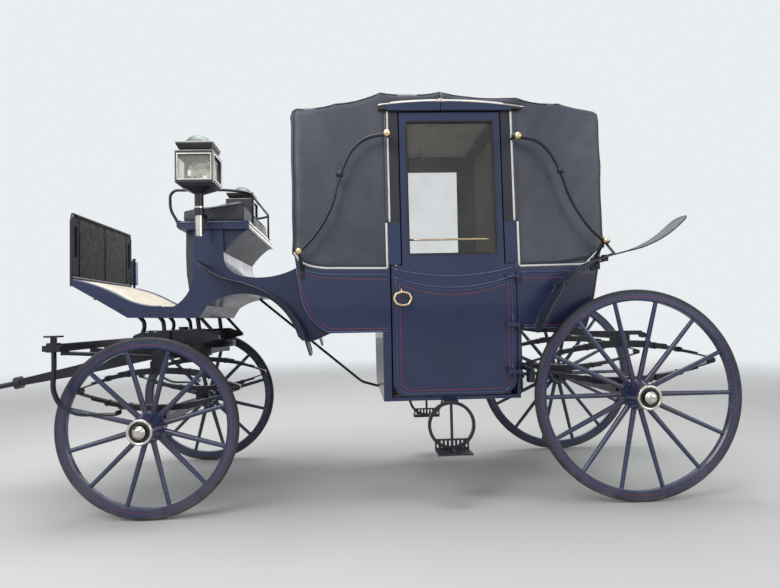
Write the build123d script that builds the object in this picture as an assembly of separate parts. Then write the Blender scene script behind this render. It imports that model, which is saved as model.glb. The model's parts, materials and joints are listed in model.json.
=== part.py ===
from build123d import *
import os
from math import asin, atan2, cos, degrees, hypot, radians, sin, sqrt, tan

# Horse drawn landau with its folding head up, front to -X, its left side to -Y. Millimetres.
# X stations are measured from the middle of the wheelbase and moved at export by ORIGIN_X,
# so that the origin lies on the ground under the middle of the whole carriage.

# Running gear
WHEELBASE = 2630
TRACK = 1400
REAR_RADIUS = 575
FRONT_RADIUS = 475
REAR_SPOKES = 14
FRONT_SPOKES = 12
TYRE_DEPTH = 20
RIM_DEPTH = 42
RIM_WIDTH = 44
HUB_IN = 110
HUB_OUT = 116
HUB_RADIUS = 82
CAP_REACH = 46
CAP_RADIUS = 34
RING_RADIUS = 66
ARM_RADIUS = 24
ARM_PLAY = 1
DISH = 26
AXLE_BED = 46
COLLAR_RADIUS = 50
MOVING_GAP = 6
SEAT_GAP = 0.3

# Body
DOOR_MID = 330
DOOR_HALF = 346
DOOR_BOTTOM = 585
DOOR_TOP = 1310
DOOR_CORNER = 85
DOOR_FRONT_GAP = 9
PILLAR_TOP = 1548
PILLAR_IN = 284
PANE_HALF = 243
PANE_BOTTOM = 1374
PANE_TOP = 2118
FRAME_TOP = 2172
PILLAR_OUT = 366
WELL_BOTTOM = 560
WELL_FRONT = -69
WELL_REAR = 700
FLOOR_Z = 945
BELT_Z = 1300
BELT_HALF = 628
SILL_HALF = 572
ROOF_HALF = 600
BODY_FRONT = -552
BODY_REAR = 1181
END_INSET = 30
WALL = 30
BOARD = 19
CORNICE_Z = 2180
CORNICE_TOP = 2217
LEATHER = 14
HEAD_SPLIT = 280
HEAD_GAP = 1

# Front end
BOOT_HALF = 500
SEAT_Z = 1543
SEAT_TOP = 1590
SEAT_HALF = 520
RAIL_Z = 1766
DASH_X = -1810
DASH_BOTTOM = 1290
DASH_TOP = 1655
DASH_HALF = BOOT_HALF - 30
COLUMN_FOOT = 1300
COLUMN_TOP = 1466
SPINDLE_TOP = 1490

# Fore-carriage
RING_MEAN = 300
RING_BAND = 44
RING_THICK = 16
BED_BOTTOM = 812
BED_TOP = 868
RING_GAP = 5
TRANSOM_TOP = 980
KING_RADIUS = 16
SPLINTER_X = -1765
SPLINTER_TOP = 926
SPLINTER_HALF = 800
ROLLER_RADIUS = 16
ROLLER_TALL = 34
ROLLER_HEAD = 47
POLE_TIP_X = -2500
POLE_SLOPE = 10.6
NOSE_RADIUS = 16
POLE_PIN = 10
POLE_PIN_X = -1925

FRONT_AXLE = -WHEELBASE / 2
REAR_AXLE = WHEELBASE / 2
WHEEL_Y = TRACK / 2
ORIGIN_X = -(POLE_TIP_X + REAR_AXLE + REAR_RADIUS) / 2

os.makedirs("parts", exist_ok=True)
NODES = {}


def node(name, *solids):
    """Keep a node's solids under its name."""
    found = []
    for item in solids:
        found += list(item.solids())
    NODES.setdefault(name, []).extend(found)


def far(shape):
    """The same piece on the other side of the carriage."""
    return shape.mirror(Plane.XZ)


def both(name, shape):
    node(name, shape, far(shape))


def fused(*shapes):
    total = shapes[0]
    for shape in shapes[1:]:
        total = total + shape
    return total


def block(x0, x1, y0, y1, z0, z1):
    return Pos((x0 + x1) / 2, (y0 + y1) / 2, (z0 + z1) / 2) * Box(abs(x1 - x0), abs(y1 - y0), abs(z1 - z0))


def rod_y(x, z, radius, y0, y1):
    return Pos(x, (y0 + y1) / 2, z) * Rot(X=90) * Cylinder(radius, abs(y1 - y0))


def rod_z(x, y, radius, z0, z1):
    return Pos(x, y, (z0 + z1) / 2) * Cylinder(radius, z1 - z0)


def slab(edges, y0, y1):
    """A closed outline in the XZ plane, given by its edges at y = 0, drawn out from y0 to y1."""
    face = Face(Wire(edges))
    return Pos(0, y0, 0) * extrude(face, y1 - y0, dir=(0, 1, 0))


def lines(*points, close=False):
    """Straight edges through (x, z) points."""
    spots = [Vector(x, 0, z) for x, z in points]
    if close:
        spots.append(spots[0])
    return [Edge.make_line(a, b) for a, b in zip(spots, spots[1:])]


def arc(a, m, b):
    """An arc through three (x, z) points."""
    return Edge.make_three_point_arc(*[Vector(x, 0, z) for x, z in (a, m, b)])


def poly(points, y0, y1, radii=0):
    """A closed (x, z) outline with rounded corners, drawn out from y0 to y1."""
    spots = [(x, 0, z) for x, z in points]
    outline = FilletPolyline(*spots, radius=radii, close=True) if radii else Polyline(*spots, close=True)
    return slab(outline.edges(), y0, y1)


def bend_radii(points, share=0.45):
    """The largest arc that fits each corner of a path."""
    spots = [Vector(*p) for p in points]
    radii = []
    for a, b, c in zip(spots, spots[1:], spots[2:]):
        turn = (b - a).get_angle(c - b)
        radii.append(share * min((b - a).length, (c - b).length) / tan(radians(turn / 2)))
    return radii


def path_of(points, share=0.45):
    return FilletPolyline(*points, radius=bend_radii(points, share))


def tube(points, radius, share=0.45):
    """A round rod along a path of straight runs and tangent arcs."""
    path = path_of(points, share) if len(points) > 2 else Line(*points)
    start = Plane(origin=path @ 0, z_dir=path % 0)
    return sweep(start * Circle(radius), path=path)


def strap(points, wide, thick, share=0.45):
    """A flat iron along a path in a plane of constant y: wide across y, thick in the plane."""
    path = path_of(points, share) if len(points) > 2 else Line(*points)
    start = Plane(origin=path @ 0, x_dir=(0, 1, 0), z_dir=path % 0)
    return sweep(start * Rectangle(wide, thick), path=path)


def ball(x, y, z, radius):
    return Pos(x, y, z) * Rot(X=90) * Sphere(radius)


# The body's cross-section: half-width at a height, bowed below the belt, leaning in above it
TUMBLE_MID = (612, 850)
TUMBLE_TOP = (BELT_HALF, 1250)
EAVES = (ROOF_HALF, 2217)


def section_face(x, shrink, inset, top, low=WELL_BOTTOM):
    """The YZ section of the body at x, with its sides moved in by shrink and inset."""
    less = shrink + inset

    def at(y, z):
        return Vector(x, y, z)

    mid_y, mid_z = TUMBLE_MID
    belt_y, belt_z = TUMBLE_TOP
    roof_y, roof_z = EAVES
    near = [Edge.make_three_point_arc(at(-(SILL_HALF - less), low), at(-(mid_y - less), mid_z),
                                      at(-(belt_y - less), belt_z)),
            Edge.make_line(at(-(belt_y - less), belt_z), at(-(roof_y - less), top))]
    other = [Edge.make_line(at(roof_y - less, top), at(belt_y - less, belt_z)),
             Edge.make_three_point_arc(at(belt_y - less, belt_z), at(mid_y - less, mid_z),
                                       at(SILL_HALF - less, low))]
    lid = Edge.make_line(at(-(roof_y - less), top), at(roof_y - less, top))
    base = Edge.make_line(at(SILL_HALF - less, low), at(-(SILL_HALF - less), low))
    return Face(Wire(near + [lid] + other + [base]))


def core(shrink):
    """All that lies inboard of the body's sides, moved in by shrink, narrowing to both ends."""
    top = EAVES[1]
    front = loft([section_face(BODY_FRONT - 20, shrink, END_INSET, top),
                  section_face(DOOR_MID - PILLAR_OUT, shrink, 0, top)], ruled=True)
    mid = extrude(section_face(DOOR_MID - PILLAR_OUT, shrink, 0, top), 2 * PILLAR_OUT, dir=(1, 0, 0))
    rear = loft([section_face(DOOR_MID + PILLAR_OUT, shrink, 0, top),
                 section_face(BODY_REAR + 40, shrink, END_INSET, top)], ruled=True)
    return fused(front, mid, rear)


def inset_at(x):
    """How far the body's side has narrowed at x."""
    if x < DOOR_MID - PILLAR_OUT:
        return END_INSET * (DOOR_MID - PILLAR_OUT - x) / (DOOR_MID - PILLAR_OUT - BODY_FRONT + 20)
    if x > DOOR_MID + PILLAR_OUT:
        return END_INSET * (x - DOOR_MID - PILLAR_OUT) / (BODY_REAR + 40 - DOOR_MID - PILLAR_OUT)
    return 0


def side_y(z, x=DOOR_MID):
    """The body's half-width at a height and station."""
    if z >= TUMBLE_TOP[1]:
        share = (z - TUMBLE_TOP[1]) / (EAVES[1] - TUMBLE_TOP[1])
        return TUMBLE_TOP[0] + share * (EAVES[0] - TUMBLE_TOP[0]) - inset_at(x)
    (y1, z1), (y2, z2), (y3, z3) = (SILL_HALF, WELL_BOTTOM), TUMBLE_MID, TUMBLE_TOP
    run = (z - z1) / (z3 - z1)
    share_mid = (z2 - z1) / (z3 - z1)
    bulge = (y2 - y1 - share_mid * (y3 - y1)) / (share_mid * (1 - share_mid))
    return y1 + run * (y3 - y1) + bulge * run * (1 - run) - inset_at(x)


CORE = core(0)
CORE_IN = core(WALL)
CORE_INNER = core(WALL + SEAT_GAP)
SIDE_WALLS = CORE - CORE_IN
NEAR_HALF = block(-3000, 3000, -900, 0, 0, 2600)
SIDE_NEAR = SIDE_WALLS & NEAR_HALF


def side_piece(prism):
    """What a prism cuts out of the near side wall."""
    return SIDE_NEAR & prism


# Outlines of the body's two ends, as seen from the side
FRONT_CURVE = [(-552, 1400), (-514, 1132), (-463, 1020), (-355, FLOOR_Z)]
REAR_CURVE = [(1078, FLOOR_Z), (1108, 1050), (1159, 1311), (1181, 1400)]
FRONT_BELT = [(-504, 1339), (-407, 1310), (-35, BELT_Z)]
REAR_BELT = [(706, BELT_Z), (927, 1303), (1110, 1332)]
PILLAR_FRONT = DOOR_MID - PILLAR_OUT
PILLAR_REAR = DOOR_MID + PILLAR_OUT
LEAF_FRONT = DOOR_MID - DOOR_HALF
LEAF_REAR = DOOR_MID + DOOR_HALF
JAMB_FRONT = LEAF_FRONT - DOOR_FRONT_GAP
JAMB_REAR = LEAF_REAR + MOVING_GAP
LEDGE_Z = DOOR_TOP + MOVING_GAP


def front_end_edges(gap=0):
    """The front wall's outer line from the belt to the floor, moved back by gap."""
    a, b, c, d = [(x + gap, z) for x, z in FRONT_CURVE]
    return [Edge.make_line(Vector(a[0], 0, a[1]), Vector(b[0], 0, b[1])), arc(b, c, d)]


def rear_end_edges():
    d, c, b, a = REAR_CURVE
    return [arc(d, c, b), Edge.make_line(Vector(b[0], 0, b[1]), Vector(a[0], 0, a[1]))]


def front_quarter():
    """Near front quarter panel, with the foot of the door pillar and the standing pillar."""
    well = lines((FRONT_CURVE[3]), (WELL_FRONT, FLOOR_Z), (WELL_FRONT, WELL_BOTTOM),
                 (JAMB_FRONT, WELL_BOTTOM), (JAMB_FRONT, LEDGE_Z), (DOOR_MID - PILLAR_IN - 8, LEDGE_Z),
                 (DOOR_MID - PILLAR_IN - 8, PILLAR_TOP), (PILLAR_FRONT, PILLAR_TOP),
                 (PILLAR_FRONT, BELT_Z), FRONT_BELT[1], FRONT_BELT[0], FRONT_CURVE[0])
    return side_piece(slab(well + front_end_edges(), -800, 0))


def rear_quarter():
    """Near rear quarter panel, with the foot of the hinge pillar and the standing pillar."""
    well = lines(REAR_CURVE[3], REAR_BELT[2], REAR_BELT[1], (PILLAR_REAR, BELT_Z),
                 (PILLAR_REAR, PILLAR_TOP), (DOOR_MID + PILLAR_IN + 8, PILLAR_TOP),
                 (DOOR_MID + PILLAR_IN + 8, LEDGE_Z), (JAMB_REAR, LEDGE_Z), (JAMB_REAR, WELL_BOTTOM),
                 (WELL_REAR, WELL_BOTTOM), (WELL_REAR, FLOOR_Z), REAR_CURVE[0])
    return side_piece(slab(well + rear_end_edges(), -800, 0))


def body_panels():
    both("quarter_panels", front_quarter())
    both("quarter_panels", rear_quarter())


def body_floor():
    """Foot well and seat floors, one bent tray of boards between the side panels."""
    x0, x1 = WELL_FRONT, WELL_REAR
    outer = lines((-355, FLOOR_Z), (x0, FLOOR_Z), (x0, WELL_BOTTOM), (x1, WELL_BOTTOM), (x1, FLOOR_Z),
                  (1078, FLOOR_Z), (1078, FLOOR_Z + BOARD), (x1 - BOARD, FLOOR_Z + BOARD),
                  (x1 - BOARD, WELL_BOTTOM + BOARD), (x0 + BOARD, WELL_BOTTOM + BOARD),
                  (x0 + BOARD, FLOOR_Z + BOARD), (-355, FLOOR_Z + BOARD), close=True)
    tray = slab(outer, -700, 700) & CORE_INNER
    sill = poly([(JAMB_FRONT + 1, WELL_BOTTOM), (JAMB_REAR - 1, WELL_BOTTOM),
                 (JAMB_REAR - 1, WELL_BOTTOM + BOARD), (JAMB_FRONT + 1, WELL_BOTTOM + BOARD)], -700, 700) & CORE
    node("body_floor", fused(tray, sill))


def end_walls():
    """Curved front and rear walls between the side panels."""
    foot = FLOOR_Z + BOARD + SEAT_GAP
    for curve, belt, inward in [(FRONT_CURVE, FRONT_BELT[0], WALL), (REAR_CURVE[::-1], REAR_BELT[2], -WALL)]:
        a, b, c, d = curve
        brim = a[1] - WALL * (a[1] - belt[1]) / abs(belt[0] - a[0])
        edges = lines(a, b) + [arc(b, c, d)] + lines(d, (d[0], foot), (d[0] + inward, foot))
        edges += [arc((d[0] + inward, foot), (c[0] + inward, c[1] + 8), (b[0] + inward, b[1]))]
        edges += lines((b[0] + inward, b[1]), (a[0] + inward, brim), a)
        node("end_walls", slab(edges, -700, 700) & CORE_INNER)


# The folding head: stations along the roof at the bows, (x, eaves height, crown height)
FRONT_BOWS = [(-559, 2205, 2235), (-309, 2229, 2270), (-56, 2285, 2325), (HEAD_SPLIT - HEAD_GAP, 2293, 2335)]
REAR_BOWS = [(HEAD_SPLIT + HEAD_GAP, 2293, 2335), (716, 2254, 2294), (968, 2218, 2256), (1205, 2172, 2200)]
EAVE_ROUND = 34


def head_section(x, eaves, crown, shrink):
    """The head's YZ section at x: leaning sides, rounded eaves and a crowned roof."""
    less = shrink + inset_at(x)
    low_z = TUMBLE_TOP[1]

    def at(y, z):
        return Vector(x, y, z)

    low_y = TUMBLE_TOP[0] - less
    side = ROOF_HALF - less
    top = eaves - shrink
    peak = crown - shrink
    turn = EAVE_ROUND
    edges = [Edge.make_line(at(-low_y, low_z), at(-side, top - turn)),
             Edge.make_three_point_arc(at(-side, top - turn), at(-side + 0.3 * turn, top - 0.25 * turn),
                                       at(-side + turn, top)),
             Edge.make_three_point_arc(at(-side + turn, top), at(0, peak), at(side - turn, top)),
             Edge.make_three_point_arc(at(side - turn, top), at(side - 0.3 * turn, top - 0.25 * turn),
                                       at(side, top - turn)),
             Edge.make_line(at(side, top - turn), at(low_y, low_z)),
             Edge.make_line(at(low_y, low_z), at(-low_y, low_z))]
    return Face(Wire(edges))


def head_solid(bows, shrink, ends):
    """The head's filled form through its bows, with its two ends moved by the given amounts."""
    faces = []
    for place, (x, eaves, crown) in enumerate(bows):
        shift = ends[0] if place == 0 else ends[1] if place == len(bows) - 1 else 0
        faces.append(head_section(x + shift, eaves, crown, shrink))
    return loft(faces, ruled=True)


def leather_heads():
    """Front and rear halves of the leather head, open below, to the door and to each other."""
    outer = head_solid(FRONT_BOWS, 0, (0, 0))
    inner = head_solid(FRONT_BOWS, LEATHER, (LEATHER, 5))
    shell = outer - inner
    under = [(x, z + SEAT_GAP) for x, z in [FRONT_BELT[2], FRONT_BELT[1], FRONT_BELT[0], FRONT_CURVE[0]]]
    below = poly(under + [(-700, 1400 + SEAT_GAP), (-700, 1000), (PILLAR_FRONT, 1000)], -800, 800)
    doorway = block(PILLAR_FRONT - SEAT_GAP, 500, -800, 800, 900, CORNICE_TOP + SEAT_GAP)
    node("front_head", shell - below - doorway)
    outer = head_solid(REAR_BOWS, 0, (0, 0))
    inner = head_solid(REAR_BOWS, LEATHER, (-5, -LEATHER))
    shell = outer - inner
    under = [(x, z + SEAT_GAP) for x, z in [(PILLAR_REAR, BELT_Z), REAR_BELT[1], REAR_BELT[2], REAR_CURVE[3]]]
    below = poly(under + [(1400, 1400 + SEAT_GAP), (1400, 1000), (PILLAR_REAR, 1000)], -800, 800)
    doorway = block(100, PILLAR_REAR + SEAT_GAP, -800, 800, 900, CORNICE_TOP + SEAT_GAP)
    node("rear_head", shell - below - doorway)


def head_frames():
    """Upper door pillars with the cornice halves over the door and a cross bow."""
    for name, x_post, x_in, x_end, split in [
            ("front_head_frame", PILLAR_FRONT, DOOR_MID - PILLAR_IN - 8, PILLAR_FRONT - 36, HEAD_SPLIT - 3),
            ("rear_head_frame", PILLAR_REAR, DOOR_MID + PILLAR_IN + 8, PILLAR_REAR + 42, HEAD_SPLIT + 3)]:
        prism = block(x_post, x_in, -800, 0, PILLAR_TOP + SEAT_GAP, CORNICE_Z)
        post = side_piece(prism)
        y = ROOF_HALF
        cornice = block(x_post, split, -y, -y + WALL, CORNICE_Z, CORNICE_TOP)
        lip = block(x_end, split, -y - 20, -y - 3, CORNICE_Z + 6, CORNICE_TOP)
        drip = block(x_post, split, -y - 3, -y, CORNICE_Z + 6, CORNICE_TOP)
        bow = block(x_post, x_in, -y, y, CORNICE_TOP - WALL, CORNICE_TOP)
        half = fused(post, cornice, lip, drip)
        node(name, fused(half, far(half), bow))


def head_bows():
    """Bent bows under the leather, hinged together at each pillar."""
    for pillar, tops in [(PILLAR_FRONT - 26, [(-527, 2165), (-309, 2190)]),
                         (PILLAR_REAR + 26, [(968, 2179), (1168, 2128)])]:
        parts = []
        for place, (x, z) in enumerate(tops):
            inward = LEATHER + 13 + 10 * place
            foot = (pillar, -(side_y(1420, pillar) - inward), 1420)
            knee = (x, -(side_y(z - 30, x) - inward), z - 30)
            other = (x, -knee[1], knee[2])
            end = (pillar, -foot[1], 1420)
            shoulder = (x, -(abs(knee[1]) - 60), z)
            opposite = (x, abs(knee[1]) - 60, z)
            path = FilletPolyline(foot, knee, shoulder, opposite, other, end, radius=[20, 24, 24, 20])
            start = Plane(origin=path @ 0, z_dir=path % 0)
            parts.append(sweep(start * Circle(8), path=path))
        pin = rod_y(pillar, 1420, 12, -(side_y(1420, pillar) - LEATHER - 1), -(side_y(1420, pillar) - 42))
        node("head_bows", fused(*parts, pin, far(pin)))


def door():
    """Near door: leaf with rounded foot, glazed frame, glass and loop handle."""
    x0, x1 = LEAF_FRONT, LEAF_REAR
    frame_x0 = DOOR_MID - PILLAR_IN
    frame_x1 = DOOR_MID + PILLAR_IN
    outline = [(x0, DOOR_BOTTOM), (x1, DOOR_BOTTOM), (x1, DOOR_TOP), (x0, DOOR_TOP)]
    leaf = side_piece(poly(outline, -800, 0) - corner_cuts(x0, x1))
    frame = block(frame_x0, frame_x1, -800, 0, DOOR_TOP, FRAME_TOP)
    pane = block(DOOR_MID - PANE_HALF, DOOR_MID + PANE_HALF, -800, 0, PANE_BOTTOM, PANE_TOP)
    return leaf, side_piece(frame - pane), pane


def corner_cuts(x0, x1):
    """What the rounded lower corners of the door leave out."""
    r = DOOR_CORNER
    cuts = []
    for x, step in [(x0, 1), (x1, -1)]:
        square = block(x, x + step * r, -800, 0, DOOR_BOTTOM, DOOR_BOTTOM + r)
        cuts.append(square - rod_y(x + step * r, DOOR_BOTTOM + r, r, -801, 1))
    return fused(*cuts)


HINGE_X = LEAF_REAR + 8
HINGE_Y = -(BELT_HALF + 14)
HINGE_LEVELS = [700, 960, 1230]
HINGE_PIN = 6
HINGE_EYE = 11


def doors():
    leaf, frame, pane = door()
    glass = pane & (core(12) - core(17))
    glass = glass & NEAR_HALF
    eyes = []
    posts = []
    for level in HINGE_LEVELS:
        surface = side_y(level)
        eye = rod_z(HINGE_X, HINGE_Y, HINGE_EYE, level, level + 26) - rod_z(HINGE_X, HINGE_Y, HINGE_PIN + 0.5,
                                                                          level - 1, level + 27)
        arm = block(LEAF_REAR - 60, HINGE_X - 8, HINGE_Y - 4, HINGE_Y + 4, level + 3, level + 23)
        leg = block(LEAF_REAR - 60, LEAF_REAR - 30, HINGE_Y - 4, -surface + 8, level + 3, level + 23)
        eyes.append(fused(eye, arm, leg))
        pin = rod_z(HINGE_X, HINGE_Y, HINGE_PIN, level - 22, level + 26)
        knuckle = rod_z(HINGE_X, HINGE_Y, HINGE_EYE, level - 24, level - 1.5)
        tail = block(HINGE_X - 8, HINGE_X + 20, HINGE_Y, -surface - SEAT_GAP, level - 22, level - 3)
        posts.append(fused(pin, knuckle, tail))
    for side, mirror_it in [("near", lambda s: s), ("far", far)]:
        node(side + "_door_leaf", mirror_it(fused(leaf, *eyes)))
        node(side + "_door_frame", mirror_it(frame))
        node(side + "_door_glass", mirror_it(glass))
        node(side + "_door_handle", mirror_it(handle()))
        for post in posts:
            node("door_hinges", mirror_it(post))


def handle():
    """Brass loop handle near the door's front edge, on two posts."""
    z = 1120
    x = 36
    y = -(side_y(z) + 22)
    loop = [(x - 44, y, z + 6), (x - 30, y, z + 34), (x + 4, y, z + 44), (x + 40, y, z + 36), (x + 54, y, z + 6),
            (x + 38, y, z - 24), (x + 8, y, z - 30), (x - 26, y, z - 22)]
    path = FilletPolyline(*loop, radius=13, close=True)
    start = Plane(origin=path @ 0, z_dir=path % 0)
    ring = sweep(start * Circle(6), path=path)
    posts = [rod_y(x + dx, z + dz, 6, y, -side_y(z + dz) - SEAT_GAP) for dx, dz in [(-35, -8), (47, -6)]]
    plate = rod_y(x - 34, z - 10, 13, -side_y(z) - 5, -side_y(z) - SEAT_GAP)
    finial = rod_z(x - 2, y, 4, z + 42, z + 62)
    return fused(ring, *posts, plate, finial)


def boot():
    """Driver's boot with the neck that arches over the front wheels, its footboard and the leather fall."""
    top = lines((-1120, SEAT_Z), (-1126, 1300))
    front = [arc((-1126, 1300), (-1155, 1190), (-1235, 1114))]
    base = lines((-1235, 1114), (-1050, 1114))
    arch = [arc((-1050, 1114), (-870, 1177), (-700, 1143))]
    arch += [arc((-700, 1143), (-600, 1045), (-545, 930))]
    heel = lines((-545, 930), (-520, 905), (-448, 905), (-355, FLOOR_Z))
    contact = [arc((-355, FLOOR_Z), FRONT_CURVE[2], FRONT_CURVE[1])]
    rise = lines(FRONT_CURVE[1], (-541, 1322))
    neck = [arc((-541, 1322), (-700, 1271), (-860, 1280)), arc((-860, 1280), (-925, 1318), (-953, 1400))]
    back = lines((-953, 1400), (-957, SEAT_Z), (-1120, SEAT_Z))
    solid = slab(top + front + base + arch + heel + contact + rise + neck + back, -BOOT_HALF, BOOT_HALF)
    node("boot", solid)
    sole = 1114 - SEAT_GAP
    tread = [arc((-1779, 1272), (-1650, 1233), (-1528, 1173)), arc((-1528, 1173), (-1412, 1126), (-1290, sole))]
    under = lines((-1290, sole), (-1050, sole), (-1092, 1047), (-1488, 1055), (-1657, 1159), (-1786, 1236))
    nose = [arc((-1786, 1236), (-1794, 1254), (-1779, 1272))]
    node("footboard", slab(tread + under + nose, -BOOT_HALF, BOOT_HALF))
    fall = poly([(-1100, SEAT_Z), (-1172, SEAT_Z), (-1174, 1400), (-1170, 1290), (-1158, 1206), (-1100, 1206)],
                -BOOT_HALF + 40, BOOT_HALF - 40)
    node("boot_apron", fall - Pos(-SEAT_GAP, 0, 0) * solid)


def driver_seat():
    low = SEAT_Z + SEAT_GAP
    board = poly([(-1194, low), (-808, low), (-808, SEAT_TOP), (-1209, SEAT_TOP), (-1209, low + 15)],
                 -SEAT_HALF, SEAT_HALF)
    cove = slab([arc((-960, 1402), (-902, 1478), (-816, low + 4))] + lines((-816, low + 4), (-960, low + 4), (-960, 1402)),
                -SEAT_HALF + 40, SEAT_HALF - 40)
    node("seat_board", fused(board, cove - Pos(SEAT_GAP, 0, 0) * NODES["boot"][0]))
    half = SEAT_HALF - 22
    low = SEAT_TOP + SEAT_GAP
    node("driver_cushion", poly([(-1197, low), (-826, low), (-830, 1712), (-1192, 1658)], -half, half, 14))
    y = SEAT_HALF - 8
    z = RAIL_Z
    side_rail = [(-1205, SEAT_TOP - 2), (-1244, 1655), (-1246, z), (-815, z)]
    rail = tube([(x, -y, level) for x, level in side_rail] + [(x, y, level) for x, level in side_rail[::-1]], 8, 0.4)
    posts = [tube([(-815, side * 340, SEAT_TOP - 2), (-815, side * 340, z)], 7) for side in (-1, 1)]
    whole = fused(rail, *posts)
    node("seat_rail", whole - block(-1300, -700, -700, 700, 1400, SEAT_TOP + SEAT_GAP))


def dash():
    """Leather dashboard with hand slots, in an iron frame that stands on the footboard."""
    r = 9
    inner = DASH_HALF - 2 * r
    low = DASH_BOTTOM + r + SEAT_GAP
    high = DASH_TOP - 2 * r - SEAT_GAP
    panel = block(DASH_X - 6, DASH_X + 6, -inner + SEAT_GAP, inner - SEAT_GAP, low, high)
    panel = fillet(panel.edges().filter_by(Axis.X), 40)
    for side in (-1, 1):
        y = side * (inner - 34)
        panel = panel - block(DASH_X - 10, DASH_X + 10, y - 9, y + 9, high - 225, high - 50)
    node("dash_panel", panel)
    y = DASH_HALF - r
    foot_z = 1240
    loop = tube([(DASH_X, -y, foot_z), (DASH_X, -y, DASH_TOP - r), (DASH_X, y, DASH_TOP - r), (DASH_X, y, foot_z)],
                r, 0.1)
    sill = rod_y(DASH_X, DASH_BOTTOM, r, -y, y)
    lugs = [block(DASH_X, DASH_X + 60, side * y - 8, side * y + 8, foot_z + 4, foot_z + 24) for side in (-1, 1)]
    board = NODES["footboard"][0]
    clear = fused(board, Pos(-SEAT_GAP, 0, 0) * board, Pos(0, 0, SEAT_GAP) * board)
    node("dash_frame", fused(loop, sill, *lugs) - clear)
    y = BOOT_HALF + 24
    x = DASH_X + 6
    column = block(x - 19, x + 19, y - 22, y + 22, COLUMN_FOOT, COLUMN_TOP)
    spindle = rod_z(x, y, 9, COLUMN_FOOT - 60, SPINDLE_TOP)
    cap = rod_z(x, y, 14, SPINDLE_TOP - 8, SPINDLE_TOP)
    foot = block(x + 12, x + 75, BOOT_HALF + SEAT_GAP, y + 10, COLUMN_FOOT - 75, COLUMN_FOOT - 42)
    foot = fused(foot, block(x - 12, x + 75, y - 12, y + 12, COLUMN_FOOT - 75, COLUMN_FOOT - 42))
    handle = tube([(x, y, SPINDLE_TOP - 14), (x - 26, y, SPINDLE_TOP - 22), (x - 33, y, COLUMN_TOP - 46)], 7, 0.4)
    node("brake_column", fused(column, spindle, cap, handle, foot))


LAMP_X = -1050
LAMP_Y = 655
LAMP_HALF = 100
LAMP_LOW = 1757
LAMP_HIGH = 1926
LAMP_RIM = 46
DOME_TALL = 60
DOME_RADIUS = 80
LAMP_WALL = 8
LAMP_BAR = 12
CANDLE_RADIUS = 20
CANDLE_FOOT = 1487
CANDLE_TOP = 1645


def pyramid(x, y, steps):
    """A square turned form: (height, half-width) steps joined by flat sloping sides."""
    faces = [Plane(origin=(x, y, z)) * Rectangle(2 * half, 2 * half) for z, half in steps]
    return fused(*[loft([a, b], ruled=True) for a, b in zip(faces, faces[1:])])


def lamps():
    """Carriage lamps: glazed box under a flared cap and dome, with its funnel and candle tube."""
    x, y, h = LAMP_X, -LAMP_Y, LAMP_HALF
    low, high = LAMP_LOW, LAMP_HIGH
    wall, bar = LAMP_WALL, LAMP_WALL + LAMP_BAR
    inside = h - wall
    box = block(x - h, x + h, y - h, y + h, low, high)
    box = box - block(x - inside, x + inside, y - inside, y + inside, low + wall, high - wall)
    window = h - bar + 4
    sides = [block(x - h - 1, x - h + wall + 1, y - window, y + window, low + bar, high - bar),
             block(x - window, x + window, y - h - 1, y - h + wall + 1, low + bar, high - bar),
             block(x + h - wall - 1, x + h + 1, y - window, y + window, low + bar, high - bar)]
    body = box - sides[0] - sides[1] - sides[2]
    rim = high + LAMP_RIM
    cap = pyramid(x, y, [(high - 2, h - 20), (high + 6, h - 20), (rim - 12, h - 4), (rim, h - 3)])
    dome = Pos(x, y, rim + DOME_TALL - DOME_RADIUS) * Sphere(DOME_RADIUS)
    dome = dome & block(x - h, x + h, y - h, y + h, rim - 2, rim + DOME_TALL + 10)
    funnel = pyramid(x, y, [(low + 2, h - 5), (low - 14, h - 22), (low - 43, CANDLE_RADIUS + 4)])
    stem = rod_z(x, y, CANDLE_RADIUS + 4, CANDLE_TOP + SEAT_GAP, low - 30)
    lamp = fused(body, cap, dome, funnel, stem)
    near, away = h - wall - 3, h - wall - 0.5
    reach = window + 5
    panes = [block(x - away, x - near, y - reach, y + reach, low + bar - 6, high - bar + 6),
             block(x - reach, x + reach, y - away, y - near, low + bar - 6, high - bar + 6),
             block(x + near, x + away, y - reach, y + reach, low + bar - 6, high - bar + 6)]
    clear = 0.4
    socket = rod_z(x, y, CANDLE_RADIUS + 7, 1596, 1636) - rod_z(x, y, CANDLE_RADIUS + clear, 1500, 1700)
    arm = block(x - 13, x + 13, y + CANDLE_RADIUS + 3, -SEAT_HALF - SEAT_GAP, 1612, 1620)
    drop = block(x - 13, x + 13, -SEAT_HALF - 8, -SEAT_HALF - SEAT_GAP, SEAT_Z + 5, 1620)
    bracket = fused(socket, arm, drop)
    both("lamps", lamp)
    both("lamp_tubes", rod_z(x, y, CANDLE_RADIUS, CANDLE_FOOT, CANDLE_TOP))
    for pane in panes:
        both("lamp_glass", pane)
    both("lamp_brackets", bracket)


IRON_Y = 668
IRON_RADIUS = 10
FRONT_IRON = [(-20, 2034), (-147, 2012), (-230, 1941), (-290, 1810), (-340, 1620), (-428, 1479), (-516, 1389)]
REAR_IRON = [(680, 2015), (804, 1995), (875, 1932), (935, 1820), (985, 1660), (1075, 1512), (1168, 1422)]


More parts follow.
